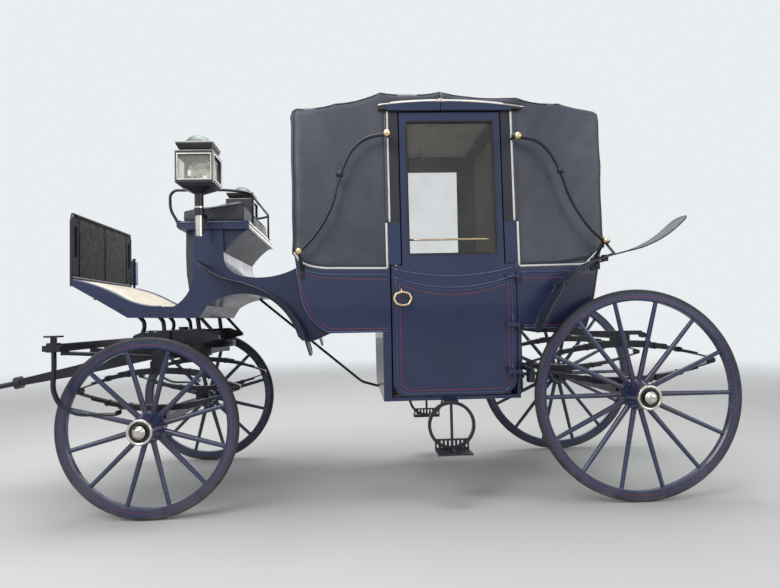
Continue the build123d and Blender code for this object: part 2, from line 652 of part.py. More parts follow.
def landau_irons():
    """S-shaped irons that hold the head taut, with balls at both ends and a knuckle between."""
    for points, foot in [(FRONT_IRON, (-505, 1310)), (REAR_IRON, (1120, 1325))]:
        route = [(x, -IRON_Y, z) for x, z in points]
        iron = tube(route, IRON_RADIUS)
        (x0, z0), (x1, z1) = points[0], points[-1]
        joint_x, joint_z = points[3]
        pin = rod_y(x0, z0, 8, -IRON_Y, -side_y(z0, x0) - SEAT_GAP)
        balls = [ball(x0, -IRON_Y, z0, 17), ball(x1, -IRON_Y, z1, 17), ball(joint_x, -IRON_Y, joint_z, 20)]
        surface = -side_y(foot[1] - 30, foot[0])
        tail = block(foot[0] - 11, foot[0] + 11, surface - 9, surface - 2, foot[1] - 60, foot[1] + 10)
        link = tube([(x1, -IRON_Y, z1), (foot[0], surface - 12, foot[1] - 8)], 9)
        knob = ball(foot[0], surface - 12, foot[1] - 8, 10)
        whole = fused(iron, pin, *balls, link, tail, knob)
        if points is REAR_IRON:
            band = fender_band(REAR_FENDER, BELT_HALF + 6, 800)
            strut = tube([(x1, -IRON_Y, z1), (1208, -716, 1340)], 7)
            below = block(1150, 1300, -800, -600, 1300, 1349)
            whole = fused(whole, strut - fused(band, Pos(0, 0, SEAT_GAP) * band) - below)
        both("landau_irons", whole)


FRONT_FENDER = [(-1061, 1351), (-1021, 1311), (-930, 1253), (-823, 1227), (-697, 1181), (-582, 1095),
                (-504, 980), (-462, 832)]
REAR_FENDER = [(760, 931), (812, 1044), (900, 1184), (1019, 1286), (1188, 1343), (1330, 1371), (1465, 1436),
               (1590, 1545)]


def fender_band(line, y0, y1):
    """A near-side mudguard band along an (x, z) line, with the corners of its ends rounded in plan."""
    band = strap([(x, -(y0 + y1) / 2, z) for x, z in line], y1 - y0, 5)
    (x0, _), (x1, _) = line[0], line[-1]
    plan = block(x0 - 1, x1 + 1, -y1 - 1, -y0 + 1, 700, 1700)
    ends = fillet(plan.edges().filter_by(Axis.Z), 62)
    return band & ends


def fenders():
    """Mudguards: bands bent over each wheel, carried at their inner edges."""
    both("front_fenders", fender_band(FRONT_FENDER, BOOT_HALF + SEAT_GAP, 738))
    y0, y1 = BELT_HALF + 6, 800
    band = fender_band(REAR_FENDER, y0, y1)
    stays = []
    for x, z in [(900, 1184), (1150, 1332)]:
        surface = side_y(z - 40, x)
        stays.append(fused(block(x - 14, x + 14, -y0 - 90, -surface - SEAT_GAP, z - 24, z - 19),
                           block(x - 14, x + 14, -y0 - 90, -y0 - 60, z - 24, z + 10),
                           block(x - 14, x + 14, -surface - 6, -surface - SEAT_GAP, z - 60, z - 19)))
    both("rear_fenders", fused(band, *stays) - CORE)


def door_steps():
    """Step below each door: tread with a combed guard, hung in a hoop under the well."""
    mid = 300
    y = 600
    ring = rod_y(mid, 425, 132, -y - 8, -y + 8) - rod_y(mid, 425, 114, -y - 9, -y + 9)
    bar = rod_z(mid, -y, 8, 298, 552)
    cap = block(mid - 40, mid + 40, -y - 14, -y + 60, 543, WELL_BOTTOM - SEAT_GAP)
    tread = poly([(mid - 95, 283), (mid + 95, 283), (mid + 95, 292), (mid - 95, 292)], -y - 125, -y + 8)
    guard = block(mid - 95, mid + 95, -y + 2, -y + 8, 292, 350)
    for place in range(8):
        x = mid - 80 + place * 160 / 7
        guard = guard - block(x - 5, x + 5, -y, -y + 10, 302, 340)
    arm = block(mid - 12, mid + 12, -y - 100, -y, 292, 303)
    both("door_steps", fused(ring, bar, cap, tread, guard, arm))


def inside():
    """Facing seats in the cabin: cushions on the seat floors and padded backs."""
    half = 540
    floor = FLOOR_Z + BOARD + SEAT_GAP
    top = 1085
    node("seat_cushions", poly([(-300, floor), (-60, floor), (-60, top), (-440, top), (-415, 1030)], -half, half, 14))
    node("seat_cushions", poly([(690, floor), (1030, floor), (1062, top), (690, top)], -half, half, 14))
    half = half - 12
    foot = top + SEAT_GAP
    node("seat_backs", poly([(-455, foot), (-385, foot), (-400, 1395), (-490, 1395)], -half, half, 14))
    node("seat_backs", poly([(990, foot), (1071, foot), (1118, 1311), (1135, 1440), (1050, 1440)], -half, half, 14))


def leaf_pack(x, z, half, rise, leaves, thick, wide, up):
    """One half of an elliptic spring: leaves in concentric arcs, longest inside, with its eyes."""
    radius = (half * half + rise * rise) / (2 * rise)
    centre = z - radius + rise if up else z + radius - rise
    sign = 1 if up else -1
    pack = None
    reach = asin(half / radius)
    for place in range(leaves):
        inner = radius + place * thick
        span = reach * (1 - 0.17 * place)
        band = []
        for size in (inner, inner + thick):
            ends = [(x + size * sin(a), centre + sign * size * cos(a)) for a in (-span, 0, span)]
            band.append(ends)
        edges = [arc(*band[0])] + lines(band[0][2], band[1][2]) + [arc(*band[1][::-1])]
        edges += lines(band[1][0], band[0][0])
        leaf = slab(edges, -wide / 2, wide / 2)
        pack = leaf if pack is None else pack + leaf
    return pack


def elliptic(x, y, z_mid, half, rise, leaves, thick, wide):
    """A full elliptic spring with its eyes and centre seats."""
    upper = leaf_pack(x, z_mid + 8, half, rise, leaves, thick, wide, True)
    lower = leaf_pack(x, z_mid - 8, half, rise, leaves, thick, wide, False)
    eyes = [rod_y(x + side * half, z_mid, 16, -wide / 2 - 4, wide / 2 + 4) for side in (-1, 1)]
    return Pos(0, y, 0) * fused(upper, lower, *eyes)


SPRING_WIDE = 44
LEAF_THICK = 8
REAR_SPRING = {"y": 480, "mid": 738, "half": 540, "rise": 78, "leaves": 5}
FRONT_SPRING = {"y": 500, "mid": 655, "half": 432, "rise": 78, "leaves": 4}


def spring_top(spring):
    return spring["mid"] + 8 + spring["rise"] + spring["leaves"] * LEAF_THICK


def spring_bottom(spring):
    return spring["mid"] - 8 - spring["rise"] - spring["leaves"] * LEAF_THICK


def springs():
    for name, x, spring in [("rear_springs", REAR_AXLE, REAR_SPRING), ("front_springs", FRONT_AXLE, FRONT_SPRING)]:
        piece = elliptic(x, -spring["y"], spring["mid"], spring["half"], spring["rise"], spring["leaves"],
                         LEAF_THICK, SPRING_WIDE)
        both(name, piece)


def axle(x, z, spring):
    """An axle with its square bed, arms for the wheels, collars, end nuts and spring seats."""
    bed_half = WHEEL_Y - HUB_IN - MOVING_GAP - 24
    bed = block(x - AXLE_BED / 2, x + AXLE_BED / 2, -bed_half, bed_half, z - AXLE_BED / 2, z + AXLE_BED / 2)
    seat = block(x - 45, x + 45, -spring["y"] - 30, -spring["y"] + 30, z, spring_bottom(spring) - SEAT_GAP)
    clips = [block(x + side * 30 - 5, x + side * 30 + 5, -spring["y"] - 30, -spring["y"] + 30, z - 34, z)
             for side in (-1, 1)]
    collar = rod_y(x, z, COLLAR_RADIUS, -bed_half - 24, -bed_half)
    arm = rod_y(x, z, ARM_RADIUS, -WHEEL_Y - HUB_OUT - 10, -bed_half)
    half = fused(collar, arm, seat, *clips)
    return fused(bed, half, far(half))


def rear_irons():
    """Irons under the body that rest on the rear springs, with their cross bed."""
    y = REAR_SPRING["y"]
    top = FLOOR_Z - SEAT_GAP
    low = spring_top(REAR_SPRING) + SEAT_GAP
    bar = poly([(760, top), (1060, top), (1120, top - 22), (1440, top - 26), (1452, top - 44), (1430, top - 50),
                (1120, top - 50), (1010, top - 34), (760, top - 12)], -y - 20, -y + 20)
    seat = block(REAR_AXLE - 50, REAR_AXLE + 50, -y - 26, -y + 26, low, top - 40)
    curl = rod_y(1452, top - 52, 16, -y - 20, -y + 20)
    bed = block(REAR_AXLE - 24, REAR_AXLE + 24, -y, y, low + 10, top - 44)
    node("rear_body_irons", fused(bar, far(bar), seat, far(seat), curl, far(curl), bed))


def turntable_upper():
    """Fixed half of the turntable: ring, transom bed, side bars and scroll irons up to the boot."""
    x = FRONT_AXLE
    base = BED_TOP + RING_THICK + RING_GAP
    ring = Pos(x, 0, base + RING_THICK / 2) * (Cylinder(RING_MEAN + RING_BAND / 2, RING_THICK)
                                               - Cylinder(RING_MEAN - RING_BAND / 2, RING_THICK + 1))
    transom = block(x - 35, x + 35, -430, 430, base + RING_THICK, TRANSOM_TOP)
    ledge = block(x - 35, x + 35, -RING_MEAN + 30, RING_MEAN - 30, base, base + RING_THICK)
    bars = []
    for y in (-385, 385):
        bars.append(poly([(-1492, 925), (-1450, 905), (-1100, 905), (-1007, 925), (-1007, 945), (-1100, TRANSOM_TOP),
                          (-1450, TRANSOM_TOP - 10), (-1492, 952)], y - 19, y + 19))
    cross = [block(x_bar - 18, x_bar + 18, -385, 385, base + RING_THICK, TRANSOM_TOP - 20)
             for x_bar in (-1470, -1150)]
    scrolls = []
    for foot_x, head_x in [(-1475, -1490), (-1345, -1378)]:
        for y in (-300, 300):
            scrolls.append(tube([(foot_x, y, TRANSOM_TOP - 26), (head_x + 30, y, 1002), (head_x + 26, y, 1034),
                                 (head_x, y, 1062)], 12, 0.45))
    strut = [tube([(-1140, y, TRANSOM_TOP - 26), (-1152, y, 1056)], 13) for y in (-300, 300)]
    tail = [tube([(-1020, y, 942), (-1118, y, 1054)], 10) for y in (-385, 385)]
    solid = fused(ring, transom, ledge, *bars, *cross, *scrolls, *strut, *tail)
    board = NODES["footboard"][0]
    shell = NODES["boot"][0]
    pin = rod_z(x, 0, KING_RADIUS, BED_BOTTOM - 30, TRANSOM_TOP)
    head = rod_z(x, 0, 30, TRANSOM_TOP, TRANSOM_TOP + 16)
    nut = rod_z(x, 0, 26, BED_BOTTOM - 36, BED_BOTTOM - 8)
    node("upper_turntable", fused(solid, pin, head, nut) - board - shell)


def turntable_lower():
    """Turning half: ring, bed over the front springs, and the futchells that hold the pole."""
    x = FRONT_AXLE
    y = FRONT_SPRING["y"]
    ring = Pos(x, 0, BED_TOP + RING_THICK / 2) * (Cylinder(RING_MEAN + RING_BAND / 2, RING_THICK)
                                                  - Cylinder(RING_MEAN - RING_BAND / 2, RING_THICK + 1))
    bed = block(x - 35, x + 35, -y - 28, y + 28, BED_BOTTOM, BED_TOP)
    seats = [block(x - 42, x + 42, side * y - 28, side * y + 28, spring_top(FRONT_SPRING) + SEAT_GAP, BED_BOTTOM)
             for side in (-1, 1)]
    stays = []
    for side in (-1, 1):
        stay = poly([(SPLINTER_X - 20, 856), (SPLINTER_X + 30, 838), (-1500, 820), (-1250, 818), (-1080, 826),
                     (-1080, BED_TOP), (-1280, BED_TOP), (-1500, 864), (SPLINTER_X - 20, 884)],
                    side * 260 - 19, side * 260 + 19)
        stays.append(stay)
    futchells = []
    for side in (-1, 1):
        bar = poly([(-1960, 708), (-1960, 770), (-1830, 806), (-1500, 862), (-1080, BED_TOP), (-1080, 834),
                    (-1300, 812), (-1500, 796)], side * 62 - 17, side * 62 + 17)
        futchells.append(bar)
    tail = block(-1110, -1080, -279, 279, 834, BED_TOP)
    for side in (-1, 1):
        low = BED_TOP + RING_THICK
        stays.append(tube([(SPLINTER_X, side * 640, low - 11), (x - 20, side * (y - 10), BED_BOTTOM + 24)], 11))
        stays.append(block(SPLINTER_X - 16, SPLINTER_X + 16, side * 640 - 16, side * 640 + 16, low - 22, low))
    bore = rod_z(x, 0, KING_RADIUS + 0.5, BED_BOTTOM - 60, BED_TOP + 60)
    pin_hole = rod_y(POLE_PIN_X, pole_z(POLE_PIN_X), POLE_PIN + SEAT_GAP, -100, 100)
    node("fore_carriage_frame", fused(ring, bed, *seats, *stays, *futchells, tail) - bore - pin_hole)


def splinter_bar():
    """Cross bar for the traces, with a roller bolt at each end, above the futchells."""
    x = SPLINTER_X
    half = SPLINTER_HALF
    bar = block(x - 22, x + 22, -half, half, BED_TOP + RING_THICK + SEAT_GAP, SPLINTER_TOP)
    risers = [block(x - 18, x + 18, side * 62 - 15, side * 62 + 15, 822, 885) for side in (-1, 1)]
    rollers = []
    for y in (-765, 765):
        rollers.append(rod_z(x, y, ROLLER_RADIUS, SPLINTER_TOP, SPLINTER_TOP + ROLLER_TALL))
        rollers.append(rod_z(x, y, 34, SPLINTER_TOP, SPLINTER_TOP + 6))
        rollers.append(rod_z(x, y, ROLLER_HEAD, SPLINTER_TOP + ROLLER_TALL, SPLINTER_TOP + ROLLER_TALL + 9))
    solid = fused(bar, *risers, *rollers)
    node("splinter_bar", solid - NODES["fore_carriage_frame"][0])


def pole_z(x):
    """Height of the pole's centre line at x."""
    return 738 + (x + 1962) * tan(radians(POLE_SLOPE))


def pole():
    """Short pole between the futchells, tapering to a collared nose."""
    deep, slim = 34, 21
    root, shoulder = -1520, -2330
    outline = [(root, pole_z(root) + deep - 4), (-1962, pole_z(-1962) + deep), (shoulder, pole_z(shoulder) + slim),
               (shoulder, pole_z(shoulder) - slim), (-1962, pole_z(-1962) - deep), (root, pole_z(root) - deep + 4)]
    shaft = poly(outline, -33, 33)
    run = Vector(-cos(radians(POLE_SLOPE)), 0, -sin(radians(POLE_SLOPE)))
    start = Vector(shoulder + 12, 0, pole_z(shoulder + 12))
    collar = extrude(Plane(origin=start, z_dir=run) * Circle(38), 40)
    length = (start.X - POLE_TIP_X) / cos(radians(POLE_SLOPE)) - NOSE_RADIUS * tan(radians(POLE_SLOPE))
    nose = extrude(Plane(origin=start, z_dir=run) * Circle(NOSE_RADIUS), length)
    pin = rod_y(POLE_PIN_X, pole_z(POLE_PIN_X), POLE_PIN, -84, 84)
    node("pole", fused(shaft, collar, nose, pin))


def coachman_steps():
    """Bent iron steps that hang from the ends of the splinter bar, clear of the hubs."""
    y = -(WHEEL_Y + 118)
    x = SPLINTER_X
    path = [(x + 26, y, SPLINTER_TOP - 21), (x + 28, y, 800), (x + 20, y, 700), (x + 52, y, 622),
            (x + 140, y, 570), (x + 265, y, 567)]
    iron = strap(path, 30, 13, 0.4)
    tread = block(x + 230, x + 347, y - 36, y + 36, 564, 572)
    lip = block(x + 341, x + 347, y - 36, y + 36, 564, 588)
    head = block(x - 25, x + 65, y - 16, -SPLINTER_HALF - SEAT_GAP, SPLINTER_TOP - 36, SPLINTER_TOP - 6)
    both("coachman_steps", fused(iron, tread, lip, head))


def brake_gear():
    """Cross shaft behind the well with the two brake blocks, and the long rod from the boot."""
    x, z = 716, 700
    shoe_low, shoe_high = z - 40, z + 22
    tread_x = REAR_AXLE - sqrt(REAR_RADIUS ** 2 - (shoe_low - REAR_RADIUS) ** 2)
    shaft = rod_y(x + 4, z + 28, 11, -745, 745)
    shoes = [block(x - 10, tread_x - MOVING_GAP - 2, side * WHEEL_Y - 28, side * WHEEL_Y + 28, shoe_low, shoe_high)
             for side in (-1, 1)]
    hangers = [tube([(x + 4, y, z + 28), (x + 10, y, z + 150), (x + 14, y, FLOOR_Z - 4)], 10, 0.4)
               for y in (-430, 430)]
    lever = rod_y(x + 4, z + 28, 20, 388, 412)
    rod = tube([(-905, 400, 1190), (-178, 400, 578), (-60, 400, 543), (x + 12, 400, 543), (x + 8, 400, z + 12)], 9, 0.2)
    solid = fused(shaft, *shoes, *hangers, lever, rod) - block(500, 1200, -700, 700, FLOOR_Z - SEAT_GAP, 1200)
    node("brake_gear", solid - NODES["rear_body_irons"][0] - NODES["boot"][0])


def hub_profile(points, axis=Axis.Y):
    """A solid of revolution about the hub's axis from (y, r) points."""
    spots = [Vector(r, y, 0) for y, r in points]
    spots.append(spots[0])
    face = Face(Wire([Edge.make_line(a, b) for a, b in zip(spots, spots[1:])]))
    return revolve(face, axis=axis)


def wheel(prefix, x, radius, spokes, side):
    """One wheel with its outer face to -Y, turned to its side and set on its axle."""
    rim_out = radius - TYRE_DEPTH
    rim_in = rim_out - RIM_DEPTH
    w = RIM_WIDTH / 2
    tyre = hub_profile([(-w, rim_out), (w, rim_out), (w - 8, radius), (-w + 8, radius)])
    felloe = hub_profile([(-w, rim_out - SEAT_GAP), (w, rim_out - SEAT_GAP), (w, rim_in + 8), (w - 8, rim_in),
                          (-w + 8, rim_in), (-w, rim_in + 8)])
    bore = ARM_RADIUS + ARM_PLAY
    barrel = hub_profile([(HUB_IN, bore), (HUB_IN, 56), (70, 68), (58, HUB_RADIUS), (0, HUB_RADIUS), (-12, 76),
                          (-HUB_OUT, RING_RADIUS - 4), (-HUB_OUT, bore)])
    foot, tip = 66, rim_in + 6
    lean = degrees(atan2(DISH, tip - foot))
    length = hypot(DISH, tip - foot)
    spoke = Pos(0, DISH, foot) * Rot(X=lean) * Pos(0, 0, length / 2) * Cone(15, 11.5, length)
    parts = [felloe, barrel]
    for place in range(spokes):
        parts.append(Rot(Y=360 * (place + 0.5) / spokes) * spoke)
    wood = fused(*parts) - (Pos(0, 0, 0) * Rot(X=90) * Cylinder(bore, 400))
    r = bore + 5
    face = -HUB_OUT
    lip = RING_RADIUS - 14
    cap = hub_profile([(face - SEAT_GAP, RING_RADIUS), (face - 15, RING_RADIUS), (face - 20, RING_RADIUS - 4),
                       (face - 20, lip + 4), (face - 10, lip), (face - 10, CAP_RADIUS), (face - 30, CAP_RADIUS),
                       (face - 39, CAP_RADIUS - 7), (face - CAP_REACH, CAP_RADIUS - 22), (face - CAP_REACH, 0),
                       (face - 22, 0), (face - 22, r), (face - SEAT_GAP, r)])
    here = Pos(x, -WHEEL_Y, radius)
    for name, piece in [("tyre", tyre), ("wheel", wood), ("hub_cap", cap)]:
        placed = here * piece
        node(prefix + "_" + name, placed if side == "near" else far(placed))


def wheels():
    for side in ("near", "far"):
        wheel("front_" + side, FRONT_AXLE, FRONT_RADIUS, FRONT_SPOKES, side)
        wheel("rear_" + side, REAR_AXLE, REAR_RADIUS, REAR_SPOKES, side)


def build():
    body_panels()
    body_floor()
    end_walls()
    leather_heads()
    head_frames()
    head_bows()
    doors()
    boot()
    driver_seat()
    dash()
    lamps()
    landau_irons()
    fenders()
    door_steps()
    inside()
    springs()
    node("rear_axle", axle(REAR_AXLE, REAR_RADIUS, REAR_SPRING))
    node("front_axle", axle(FRONT_AXLE, FRONT_RADIUS, FRONT_SPRING))
    rear_irons()
    turntable_upper()
    turntable_lower()
    splinter_bar()
    pole()
    coachman_steps()
    brake_gear()
    wheels()
    for name, solids in NODES.items():
        placed = [Pos(ORIGIN_X, 0, 0) * solid for solid in solids]
        shape = placed[0] if len(placed) == 1 else Compound(children=placed)
        export_step(shape, "parts/" + name + ".step")


build()
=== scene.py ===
import json
import math

import bmesh
import bpy
from mathutils import Matrix, Vector, noise
from mathutils.bvhtree import BVHTree


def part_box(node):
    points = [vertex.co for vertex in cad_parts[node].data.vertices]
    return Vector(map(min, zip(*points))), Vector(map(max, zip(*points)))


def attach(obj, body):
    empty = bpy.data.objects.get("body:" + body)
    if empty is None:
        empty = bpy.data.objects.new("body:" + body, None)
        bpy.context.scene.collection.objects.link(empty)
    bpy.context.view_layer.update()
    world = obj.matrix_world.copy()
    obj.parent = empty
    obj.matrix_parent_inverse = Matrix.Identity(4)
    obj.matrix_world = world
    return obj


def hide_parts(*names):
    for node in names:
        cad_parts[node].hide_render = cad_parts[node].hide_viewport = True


bl_info = {
    "name": "Landau Carriage Finisher",
    "version": (1, 0, 0),
    "blender": (4, 5, 0),
    "location": "3D View > Sidebar > Carriage",
    "description": "Leather head, upholstery, lining, lamps and fittings for a horse drawn landau",
    "category": "Object",
}

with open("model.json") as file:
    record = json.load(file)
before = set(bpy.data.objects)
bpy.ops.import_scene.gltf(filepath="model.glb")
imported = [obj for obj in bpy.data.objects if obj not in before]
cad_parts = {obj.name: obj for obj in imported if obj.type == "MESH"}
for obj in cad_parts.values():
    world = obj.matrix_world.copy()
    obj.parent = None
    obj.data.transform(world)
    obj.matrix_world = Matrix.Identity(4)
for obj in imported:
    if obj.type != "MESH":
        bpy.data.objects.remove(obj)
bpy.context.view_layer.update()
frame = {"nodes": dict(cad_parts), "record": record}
NODES = frame["nodes"]
SIDES = (("near", -1), ("far", 1))
UP = Vector((0, 0, 1))
# Rays start this far outside the carriage's side and above its roof
OUTSIDE, ABOVE = 1.6, 3.0


def low(node):
    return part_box(node)[0]


def high(node):
    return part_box(node)[1]


def middle(node):
    return (low(node) + high(node)) / 2


# Sizes and colours that a user would change

class CarriageSizes(bpy.types.PropertyGroup):
    leather: bpy.props.FloatProperty(
        name="Leather", description="Thickness of the head's leather", default=0.004, unit="LENGTH")
    sag: bpy.props.FloatProperty(
        name="Roof sag", description="How far the roof leather dips between two bows",
        default=0.022, unit="LENGTH")
    crease: bpy.props.FloatProperty(
        name="Crease", description="Height of the soft folds in the leather", default=0.011, unit="LENGTH")
    corner: bpy.props.FloatProperty(
        name="Corner", description="Radius of the head's upright corners", default=0.05, unit="LENGTH")
    bead: bpy.props.FloatProperty(
        name="Bead", description="Radius of the white edge beading", default=0.0062, unit="LENGTH")
    moulding: bpy.props.FloatProperty(
        name="Moulding", description="Radius of the half-round panel mouldings",
        default=0.0048, unit="LENGTH")
    line: bpy.props.FloatProperty(
        name="Line", description="Width of the painted lines", default=0.004, unit="LENGTH")


class CarriageColours(bpy.types.PropertyGroup):
    coach: bpy.props.FloatVectorProperty(
        name="Coach paint", description="Body and wheels", subtype="COLOR", size=3,
        default=(0.021, 0.032, 0.090))
    lining: bpy.props.FloatVectorProperty(
        name="Lining", description="Painted lines", subtype="COLOR", size=3, default=(0.22, 0.026, 0.040))
    iron: bpy.props.FloatVectorProperty(
        name="Ironwork", description="Black enamelled iron", subtype="COLOR", size=3,
        default=(0.010, 0.012, 0.020))
    hood: bpy.props.FloatVectorProperty(
        name="Head leather", description="Folding head", subtype="COLOR", size=3,
        default=(0.042, 0.045, 0.072))
    seat: bpy.props.FloatVectorProperty(
        name="Seat leather", description="Driver's cushion and dash", subtype="COLOR", size=3,
        default=(0.060, 0.061, 0.080))
    cloth: bpy.props.FloatVectorProperty(
        name="Cabin cloth", description="Linings and cushions", subtype="COLOR", size=3,
        default=(0.50, 0.44, 0.40))
    white: bpy.props.FloatVectorProperty(
        name="Beading", description="White edge beading", subtype="COLOR", size=3,
        default=(0.80, 0.79, 0.76))
    brass: bpy.props.FloatVectorProperty(
        name="Brass", description="Knobs and handles", subtype="COLOR", size=3, default=(0.83, 0.63, 0.36))
    nickel: bpy.props.FloatVectorProperty(
        name="Nickel", description="Hub rings and lamp trim", subtype="COLOR", size=3,
        default=(0.70, 0.67, 0.60))
    mat: bpy.props.FloatVectorProperty(
        name="Mat", description="Footboard mat", subtype="COLOR", size=3, default=(0.82, 0.75, 0.60))
    dust: bpy.props.FloatVectorProperty(
        name="Dust", description="Dust on paint, leather and tyres", subtype="COLOR", size=3,
        default=(0.30, 0.27, 0.235))
    floor: bpy.props.FloatVectorProperty(
        name="Floor", description="Studio floor", subtype="COLOR", size=3, default=(0.62, 0.62, 0.61))


# Shader graphs

class Graph:
    """Adds shader nodes to a tree; a value is a number, a colour or another node's output."""

    def __init__(self, tree):
        self.tree = tree

    def put(self, socket, value):
        if isinstance(value, bpy.types.NodeSocket):
            self.tree.links.new(value, socket)
        else:
            socket.default_value = value

    def node(self, kind, inputs=None, **settings):
        made = self.tree.nodes.new("ShaderNode" + kind)
        for name, value in settings.items():
            setattr(made, name, value)
        for name, value in (inputs or {}).items():
            self.put(made.inputs[name], value)
        return made

    def math(self, operation, *values, clamp=False):
        made = self.node("Math", operation=operation, use_clamp=clamp)
        for socket, value in zip(made.inputs, values):
            self.put(socket, value)
        return made.outputs[0]

    def times(self, *values, clamp=False):
        return self.math("MULTIPLY", *values, clamp=clamp)

    def plus(self, *values, clamp=False):
        return self.math("ADD", *values, clamp=clamp)

    def minus(self, *values):
        return self.math("SUBTRACT", *values)

    def length(self, a, b):
        return self.math("SQRT", self.plus(self.times(a, a), self.times(b, b)))

    def mix(self, share, a, b):
        made = self.node("Mix", data_type="RGBA")
        for index, value in ((0, share), (6, a), (7, b)):
            self.put(made.inputs[index], value)
        return made.outputs[2]

    def ramp(self, value, start, end, to_start=0.0, to_end=1.0):
        made = self.node("MapRange", {"Value": value, "From Min": start, "From Max": end,
                                      "To Min": to_start, "To Max": to_end}, interpolation_type="SMOOTHSTEP")
        return made.outputs[0]

    def noise(self, place, scale, detail=3.0, rough=0.55):
        made = self.node("TexNoise", {"Vector": place, "Scale": scale, "Detail": detail, "Roughness": rough})
        return made.outputs["Fac"]

    def place(self):
        """Object coordinates."""
        return self.node("TexCoord").outputs["Object"]

    def split(self, vector):
        return self.node("SeparateXYZ", {"Vector": vector}).outputs

    def bump(self, height, distance):
        return self.node("Bump", {"Height": height, "Distance": distance, "Strength": 1.0}).outputs[0]

    def group(self, tree, **given):
        """The outputs of one of the shared groups below."""
        return self.node("Group", given, node_tree=tree).outputs


def effect(name, inputs, outputs, build):
    """A shader node group with named inputs and outputs, built once."""
    found = bpy.data.node_groups.get(name)
    if found:
        return found
    tree = bpy.data.node_groups.new(name, "ShaderNodeTree")
    for label, value in inputs.items():
        socket = tree.interface.new_socket(label, in_out="INPUT", socket_type="NodeSocketFloat")
        socket.default_value = value
    for label in outputs:
        tree.interface.new_socket(label, in_out="OUTPUT", socket_type="NodeSocketFloat")
    entry = tree.nodes.new("NodeGroupInput").outputs
    leave = tree.nodes.new("NodeGroupOutput").inputs
    graph = Graph(tree)
    for label, value in build(graph, entry).items():
        graph.put(leave[label], value)
    return tree


def dust_effect():
    """Dust that lies on faces that look up and clings low down, broken by noise."""
    def build(g, given):
        place = g.place()
        up = g.split(g.node("NewGeometry").outputs["Normal"])[2]
        height = g.split(place)[2]
        settled = g.ramp(up, 0.25, 1.0)
        thrown = g.ramp(height, given["Reach"], 0.0)
        cloud = g.ramp(g.noise(place, given["Scale"], 5.0, 0.62), 0.32, 0.72)
        both = g.plus(g.times(settled, 0.7), thrown, clamp=True)
        mask = g.times(g.times(both, cloud), given["Amount"], clamp=True)
        return {"Mask": mask}
    return effect("Settled Dust", {"Amount": 0.4, "Scale": 7.0, "Reach": 0.9}, ["Mask"], build)


def wear_effect():
    """Where edges are rubbed: the bevelled normal leaves the flat one there."""
    def build(g, given):
        flat = g.node("NewGeometry").outputs["Normal"]
        round_normal = g.node("Bevel", {"Radius": given["Radius"]}, samples=4).outputs[0]
        apart = g.node("VectorMath", operation="DISTANCE")
        g.put(apart.inputs[0], flat)
        g.put(apart.inputs[1], round_normal)
        patch = g.ramp(g.noise(g.place(), given["Scale"], 4.0, 0.6), 0.42, 0.66)
        edge = g.ramp(apart.outputs["Value"], 0.12, 0.55)
        return {"Mask": g.times(g.times(edge, patch), given["Amount"], clamp=True)}
    return effect("Edge Wear", {"Radius": 0.003, "Amount": 0.5, "Scale": 22.0}, ["Mask"], build)


def grain_effect():
    """Pebbled hide: small cells over slower swells."""
    def build(g, given):
        place = g.place()
        cells = g.node("TexVoronoi", {"Vector": place, "Scale": given["Scale"]}, feature="SMOOTH_F1")
        swell = g.noise(place, g.times(given["Scale"], 0.08), 4.0, 0.6)
        height = g.plus(g.times(cells.outputs["Distance"], 0.5), g.times(swell, 0.9))
        return {"Height": height, "Tone": swell}
    return effect("Hide Grain", {"Scale": 260.0}, ["Height", "Tone"], build)


def weave_effect():
    """Plain weave from two crossed waves."""
    def build(g, given):
        x, y, z = g.split(g.place())[:3]
        along = g.math("SINE", g.times(g.plus(x, z), given["Threads"]))
        across = g.math("SINE", g.times(g.plus(y, g.times(z, 0.5)), given["Threads"]))
        height = g.times(along, across)
        fuzz = g.noise(g.place(), given["Fuzz"], 5.0, 0.65)
        return {"Height": g.plus(height, fuzz), "Tone": fuzz}
    return effect("Plain Weave", {"Threads": 900.0, "Fuzz": 60.0}, ["Height", "Tone"], build)


